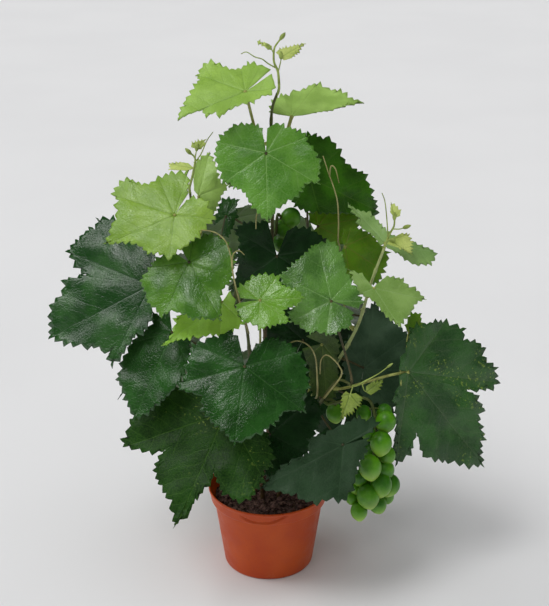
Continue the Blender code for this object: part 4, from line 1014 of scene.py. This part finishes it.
def add_node_bud(shape, route, i, rng):
    """The scar and bud on a cane's side, at a point of its route."""
    way = (route[i + 1] - route[i - 1]).normalized()
    out = way.orthogonal().normalized()
    turned = out * cos(rng.uniform(0, 6.28)) + way.cross(out) * sin(rng.uniform(0, 6.28))
    base = route[i] + turned.normalized() * CANE_RADIUS * 0.8
    bud = [base, base + (turned + way) * 1.2 * MM, base + (turned * 0.8 + way * 1.8) * 1.6 * MM]
    add_tube(shape, bud, [radius * MM for radius in NODE_BUD_RADII], 7)


def make_canes(paint, light):
    """Canes that thin out, swollen at their nodes."""
    for name in CANES:
        route = cane_route(name, THICK_STEP)
        rng = random.Random("cane " + name)
        lengths = [0.0]
        for a, b in zip(route, route[1:]):
            lengths.append(lengths[-1] + (b - a).length)
        nodes, next_node = [], FIRST_NODE * MM
        while next_node < lengths[-1] - NODELESS_END * MM:
            nodes.append(next_node)
            next_node += rng.uniform(*NODE_STEP) * MM
        radii = []
        for gone, place in zip(lengths, route):
            swell = sum(exp(-((gone - node) / (SWELLING * MM)) ** 2) for node in nodes)
            knob = KNOB * noise.noise(place * 160)
            radii.append(CANE_RADIUS * (1.0 - THINNING * gone / lengths[-1] + SWELL * swell + knob))
        shape = Shape()
        add_tube(shape, route, radii, 14)
        for node in nodes:
            nearest = min(range(1, len(route) - 1), key=lambda k: abs(lengths[k] - node))
            add_node_bud(shape, route, nearest, rng)
        shape.piece("cane_" + name, [light if name == "right" else paint])


def add_petiole(shape, leaf, seat, normal, width):
    """A petiole that is thicker at both its ends."""
    route = petiole_route(leaf.cane, leaf.height, seat, -normal)
    (foot, foot_share), (head, head_share) = PETIOLE_FOOT, PETIOLE_HEAD
    radii = []
    for i in range(len(route)):
        share = i / (len(route) - 1)
        radii.append(width * PETIOLE_RADIUS * (PETIOLE_MIDDLE + foot * exp(-(share / foot_share) ** 2)
                                               + head * exp(-((1 - share) / head_share) ** 2)))
    add_tube(shape, route, radii, 9, 2)


def make_leaves(stems):
    paints = {kind: two_sides("leaf_" + kind, look) for kind, look in LOOKS.items()}
    for name, leaf in list(LEAVES.items()) + list(BACK_LEAVES.items()):
        seen = name in LEAVES
        mould = leaf if seen else LEAVES[leaf.mould]
        place, seat, normal = seen_place(leaf) if seen else back_place(leaf)
        shape = Shape()
        coarse = min(1.1, max(0.8, way_to(mould.tip, mould.seat).length / 80))
        add_blade(shape, place, normal, mould, 1.0 if seen else leaf.size, random.Random(name),
                  TOOTH * coarse, HALF_TOOTH * coarse)
        usual = "light" if leaf.colour in (LIGHT, OLIVE) else "brown"
        kind, width = PETIOLES.get(name, (usual, USUAL_WIDTH))
        add_petiole(shape, leaf, seat, normal, width)
        for run in ROLLED_EDGES.get(name, ()):
            route = smooth_route([place(*spot) for spot in run], THIN_STEP)
            add_tube(shape, route, [ROLL_END] + [ROLL_RADIUS] * (len(route) - 2) + [ROLL_END], 7, 2)
        shape.piece(name, [*paints[OWN_LOOKS.get(name, leaf.colour)], stems[kind]])


def make_tendrils(paint):
    for name, (cane, height, runs) in TENDRILS.items():
        places = [[at_pixel(*point) for point in run] for run in runs]
        foot, clear = stalk_base(cane, height, places[0][0])
        shape = Shape()
        add_stem(shape, [foot] + smooth_route([clear] + places[0], MIDDLING_STEP), TENDRIL_STEM)
        for run in places[1:]:
            add_stem(shape, smooth_route(run, THIN_STEP), TENDRIL_BRANCH)
        shape.piece(name, [paint])


def add_bud(shape, base, way, length, radius, paint):
    last = 8
    route = [base + way * length * i / last for i in range(last + 1)]
    radii = [max(0.12 * MM, radius * sin(pi * (0.12 + 0.86 * i / last)) ** 0.8) for i in range(last + 1)]
    add_tube(shape, route, radii, 10, paint)


def make_shoots(stem, young, shaded_young):
    """young, shaded_young: the two sides' paints of the young leaves, and of the ones low in the plant, a
    darker copy that paints shade on them.
    """
    for name, (cane, twigs, leaflets) in SHOOTS.items():
        places = [[at_pixel(*point) for point in twig] for twig in twigs]
        top, along = cane_end(cane)
        low = name == "shoot_low"
        thick = LOW_SHOOT_SIZE if low else 1.0
        shape = Shape()
        start = [top - along * 2 * MM, top + along * NODE_LENGTH]
        trunk = smooth_route(start + places[0][1:], MIDDLING_STEP)
        add_stem(shape, trunk, [thick * radius for radius in SHOOT_STEM], 10, 2)
        for twig in places[1:]:
            add_stem(shape, smooth_route(twig, THIN_STEP), SHOOT_TWIG, 8, 2)
        for twig in places[:-1]:
            way = (twig[-1] - twig[-2]).normalized()
            add_bud(shape, twig[-1] - way * BUD_BACK * MM, way, BUD_LENGTH * MM, thick * BUD_RADIUS * MM, 2)
        for i, leaflet in enumerate(leaflets):
            leaf = Leaf(cane, 0, leaflet.seat, leaflet.behind, leaflet.facing, leaflet.tip,
                        0, 1, 0, LIGHT, leaflet.outline)
            place, _, normal = seen_place(leaf)
            add_blade(shape, place, normal, leaf, YOUNG_BLADE_SIZE, random.Random(f"{name} {i}"),
                      YOUNG_TOOTH, YOUNG_HALF_TOOTH, YOUNG_BLADE_RINGS)
        shape.piece(name, [*(shaded_young if low else young), stem])


def add_berry(shape, u, v, behind, radius_pixels, rng):
    """A slightly long berry with a small pointed end. end runs from its stalk to its point."""
    centre = at_pixel(u, v, behind)
    depth = (centre - EYE).dot(ray(MIDDLE_U, MIDDLE_V))
    radius = radius_pixels * depth / FOCAL_PIXELS
    aside, back = (rng.uniform(-BERRY_LEAN, BERRY_LEAN) for _ in range(2))
    turned = Vector((0, 0, 1)).rotation_difference(Vector((aside, back, 1)).normalized())
    spots, faces = ball(BERRY_COLUMNS, BERRY_ROWS)
    points = []
    for spot in spots:
        swell = 1 + BERRY_UNEVENNESS * noise.noise(spot * 1.6 + centre * 90)
        spot.z *= BERRY_LENGTH if spot.z > 0 else BERRY_LENGTH + BERRY_POINT * spot.z ** 6
        points.append(centre + turned @ (spot * radius * swell))
    ends = [row / BERRY_ROWS for row in range(BERRY_ROWS + 1) for _ in range(BERRY_COLUMNS)]
    shape.add(points, faces, 0, end=ends)


def make_bunches(skin, stalk):
    for name, (cane, height, stem, berries) in BUNCHES.items():
        rng = random.Random(name)
        places = [at_pixel(*point) for point in stem]
        foot, clear = stalk_base(cane, height, places[0])
        route = [foot] + smooth_route([clear] + places, THICK_STEP)
        shape = Shape()
        add_stem(shape, route, BUNCH_STALK, 9, 1)
        for berry in berries:
            centre = at_pixel(*berry[:3])
            joint = min(route[1:], key=lambda point: (point - PEDICEL_RISE - centre).length)
            middle = joint.lerp(centre, 0.5) + Vector((0, 0, 1.5 * MM))
            add_stem(shape, smooth_route([joint, middle, centre], THIN_STEP), BERRY_STALK, 7, 1)
            add_berry(shape, *berry, rng)
        shape.piece(name, [skin, stalk])


def round_axis(radius, turn):
    """x and y of a point about the pot's axis: turn 0 faces -Y."""
    return radius * sin(turn), -radius * cos(turn)


def lathe(shape, profile, steps, dent=None):
    """A profile of (radius, height) turned about the pot's axis, drawn in by dent(turn, radius, height)."""
    points = []
    for radius, height in profile:
        for i in range(steps):
            turn = 2 * pi * i / steps
            own = radius - (dent(turn, radius, height) if dent else 0)
            points.append((*round_axis(own, turn), height))
    shape.add(points, ring_faces(len(profile), steps))


def line_points(corners, step):
    """The corners of a profile with points between them about a step apart."""
    fine = []
    for (r0, z0), (r1, z1) in zip(corners, corners[1:]):
        count = max(1, round(hypot(r1 - r0, z1 - z0) / step))
        fine += [(r0 + (r1 - r0) * i / count, z0 + (z1 - z0) * i / count) for i in range(count)]
    return fine + [corners[-1]]


def on_band(u, v):
    """The turn and height of the rim band's point behind a pixel of the front."""
    radius = (POT_RIM_RADIUS + POT_BAND_RADIUS) / 2
    y = -radius
    for _ in range(6):
        spot = at_pixel(u, v, y / MM)
        y = -sqrt(max(radius ** 2 - spot.x ** 2, 0))
    return asin(spot.x / radius), spot.z


def pot_inner_radius(height):
    share = height / POT_WALL_HEIGHT
    return POT_BASE_RADIUS + (POT_WALL_TOP_RADIUS - POT_BASE_RADIUS) * share - POT_WALL


def offsets(radius, height, steps):
    """Corners of a profile, by their steps in mm from one radius and height."""
    return [(radius + r * MM, height + z * MM) for r, z in steps]


def make_pot(paint):
    """The moulded pot: a foot ring, a plain wall, a stepped band and a rounded lip, with a curved mark
    pressed into the front of the band."""
    bottom = POT_WALL_HEIGHT
    (left, high), (_, low), (right, end) = (on_band(*pixel) for pixel in PRESSED_MARK)

    def mark_height(turn):
        share = (turn - left) / (right - left)
        top = high + (end - high) * share
        return top - 4 * share * (1 - share) * ((high + end) / 2 - low)

    def dent(turn, radius, height):
        turn = turn - 2 * pi if turn > pi else turn
        if not left < turn < right or radius < POT_BAND_RADIUS - 0.5 * MM or height < bottom:
            return 0
        apart = abs(height - mark_height(turn)) / MARK_WIDTH
        fade = min(1, (turn - left) / 0.06, (right - turn) / 0.06)
        return MARK_DEPTH * exp(-apart ** 2) * fade

    outside = (
        offsets(POT_BASE_RADIUS, 0, [
            (-8, 0.8), (-5, 0.7), (-4, 0), (-2, 0), (-0.8, 0.4), (-0.1, 1.4), (0.3, 2.6)])
        + offsets(POT_WALL_TOP_RADIUS, bottom, [(0, -1), (0.4, -0.3)])
        + offsets(POT_BAND_RADIUS, bottom, [(-1.6, 0.2), (-0.5, 0.7), (0, 1.6)])
        + offsets(POT_RIM_RADIUS, POT_HEIGHT, [
            (-0.9, -3.2), (-0.2, -2.4), (0, -1.4), (-0.1, -0.7), (-0.5, -0.1), (-0.9, 0)]))
    inside = (
        offsets(POT_RIM_RADIUS, POT_HEIGHT, [(-1.5, -0.2)])
        + offsets(POT_RIM_RADIUS - POT_WALL, POT_HEIGHT, [(-0.3, -1)])
        + offsets(POT_BAND_RADIUS - POT_WALL, bottom, [(0, 4)])
        + offsets(POT_WALL_TOP_RADIUS - POT_WALL, bottom, [(0.5, 1)])
        + [(pot_inner_radius(bottom), bottom), (pot_inner_radius(2 * POT_WALL), 2 * POT_WALL),
           (30 * MM, POT_WALL), (1 * MM, POT_WALL)])
    shape = Shape()
    profile = [(1 * MM, 0.8 * MM)] + line_points(outside, 1.2 * MM) + line_points(inside, 3 * MM)
    lathe(shape, profile, POT_STEPS, dent)
    shape.piece("pot", [paint])


def make_soil(paint, fibre):
    """A rough filling with crumbs and pale fibres on it."""
    rng = random.Random("soil")
    edge = pot_inner_radius(POT_WALL_HEIGHT) + SOIL_IN_WALL

    def height(x, y):
        out = hypot(x, y) / edge
        rough = SOIL_ROUGHNESS * noise.fractal(Vector((x, y, 0.3)) * 95, 1.0, 2.0, 4)
        return SOIL_TOP + (rough + 0.8 + SOIL_DOME * (1 - out ** 2)) * MM

    def on_soil(share):
        return round_axis(edge * share * sqrt(rng.random()), rng.uniform(0, 2 * pi))

    shape = Shape()
    points = [(0, 0, height(0, 0))]
    for ring in range(1, SOIL_RINGS + 1):
        for i in range(SOIL_STEPS):
            x, y = round_axis(edge * ring / SOIL_RINGS, 2 * pi * i / SOIL_STEPS)
            points.append((x, y, height(x, y)))
    faces = [(0, 1 + i, 1 + (i + 1) % SOIL_STEPS) for i in range(SOIL_STEPS)]
    faces += [(a + 1, d + 1, c + 1, b + 1) for a, b, c, d in ring_faces(SOIL_RINGS, SOIL_STEPS)]
    shape.add(points, faces)
    floor = POT_WALL + GAP
    lathe(shape, [(1 * MM, floor), (pot_inner_radius(floor) - 2 * GAP, floor),
                  (edge - 1 * MM, SOIL_TOP - 3 * MM), (edge, SOIL_TOP - 1 * MM)], 72)
    for _ in range(CRUMBS):
        x, y = on_soil(0.96)
        size = rng.uniform(*CRUMB_SIZE) ** 2 * MM
        add_crumb(shape, Vector((x, y, height(x, y) + 0.3 * size)), size, rng)
    for _ in range(FIBRES):
        x, y = on_soil(0.85)
        heading, reach = rng.uniform(0, 2 * pi), rng.uniform(*FIBRE_LENGTH) * MM
        route = []
        for k in range(7):
            arch = sin(pi * k / 6) * reach * 0.25
            route.append(Vector((x, y, height(x, y) + arch + 0.2 * MM)))
            heading += rng.uniform(-0.9, 0.9)
            x, y = x + cos(heading) * reach / 4, y + sin(heading) * reach / 4
            if hypot(x, y) > edge - 1 * MM:
                break
        if len(route) > 2:
            add_stem(shape, route, FIBRE_STEM, 5, 1)
    shape.piece("soil", [paint, fibre])


def add_crumb(shape, centre, size, rng):
    stretch = Vector((rng.uniform(0.7, 1.3), rng.uniform(0.7, 1.3), rng.uniform(0.5, 0.9)))
    spots, faces = ball(7, 5)
    points = []
    for spot in spots:
        bumpy = 1 + 0.35 * noise.noise(spot * 2 + centre * 700)
        points.append(centre + spot * stretch * size * bumpy)
    shape.add(points, faces)


# The studio

WORLD_STRENGTH = 0.14
FLOOR_HALF = 9
# Softbox lights: a name, azimuth from -Y towards +X, elevation, strength and angular width. The
# widest only fill in, and make no gloss.
LAMPS = [
    ("key", -45, 60, 0.85, 24),
    ("soft", -50, 44, 0.8, 90),
    ("top", 0, 84, 0.25, 60),
    ("right", 75, 45, 0.35, 70),
    ("left", -100, 40, 0.75, 30),
    ("back", 180, 55, 0.25, 70),
]
WIDEST_GLOSSY = 50


def make_studio():
    mesh = bpy.data.meshes.new("floor")
    corners = [(x * FLOOR_HALF, y * FLOOR_HALF, 0) for x, y in ((-1, -1), (1, -1), (1, 1), (-1, 1))]
    mesh.from_pydata(corners, [], [(0, 1, 2, 3)])
    mesh.materials.append(floor_paint())
    new_object("floor", mesh)

    world = bpy.data.worlds.new("studio")
    world.use_nodes = True
    back = world.node_tree.nodes["Background"]
    back.inputs["Color"].default_value = (0.97, 0.98, 1.0, 1)
    back.inputs["Strength"].default_value = WORLD_STRENGTH
    world.cycles_visibility.glossy = False
    bpy.context.scene.world = world

    for name, azimuth, elevation, strength, width in LAMPS:
        data = bpy.data.lights.new(name, "SUN")
        data.energy = strength
        data.angle = radians(width)
        lamp = new_object(name, data)
        lamp.location = facing_way(azimuth, elevation) * 3
        lamp.rotation_euler = facing_way(azimuth, elevation).to_track_quat("Z", "Y").to_euler()
        lamp.visible_glossy = width < WIDEST_GLOSSY


def make_camera():
    data = bpy.data.cameras.new("view")
    data.lens = data.sensor_width * FOCAL_PIXELS / LONG_SIDE
    camera = new_object("view", data)
    camera.location = EYE
    camera.rotation_euler = (radians(90) - PITCH, 0, 0)
    bpy.context.scene.camera = camera


def main():
    bpy.context.scene.view_settings.view_transform = "Standard"
    make_camera()
    make_studio()
    make_canes(stem_paint("cane_bark", (92, 74, 42), (58, 44, 26), (86, 98, 40)),
               stem_paint("cane_young", (134, 134, 74), (104, 104, 52), (176, 190, 122), 0.2))
    make_leaves({"brown": stem_paint("petiole_brown", (92, 84, 44), (58, 58, 30)),
                 "light": stem_paint("petiole_light", (178, 184, 100), (144, 148, 70))})
    make_tendrils(stem_paint("tendril_plastic", (178, 174, 114), (146, 140, 82)))
    make_shoots(stem_paint("shoot_stem", (168, 188, 96), (132, 150, 64)),
                two_sides("young_leaf", YOUNG), two_sides("young_leaf_shaded", YOUNG_SHADED))
    make_bunches(grape_paint(), stem_paint("bunch_stalk", (92, 112, 44), (74, 84, 34)))
    make_pot(pot_paint())
    make_soil(soil_paint(), stem_paint("soil_fibre", (112, 76, 62), (70, 46, 40)))


main()
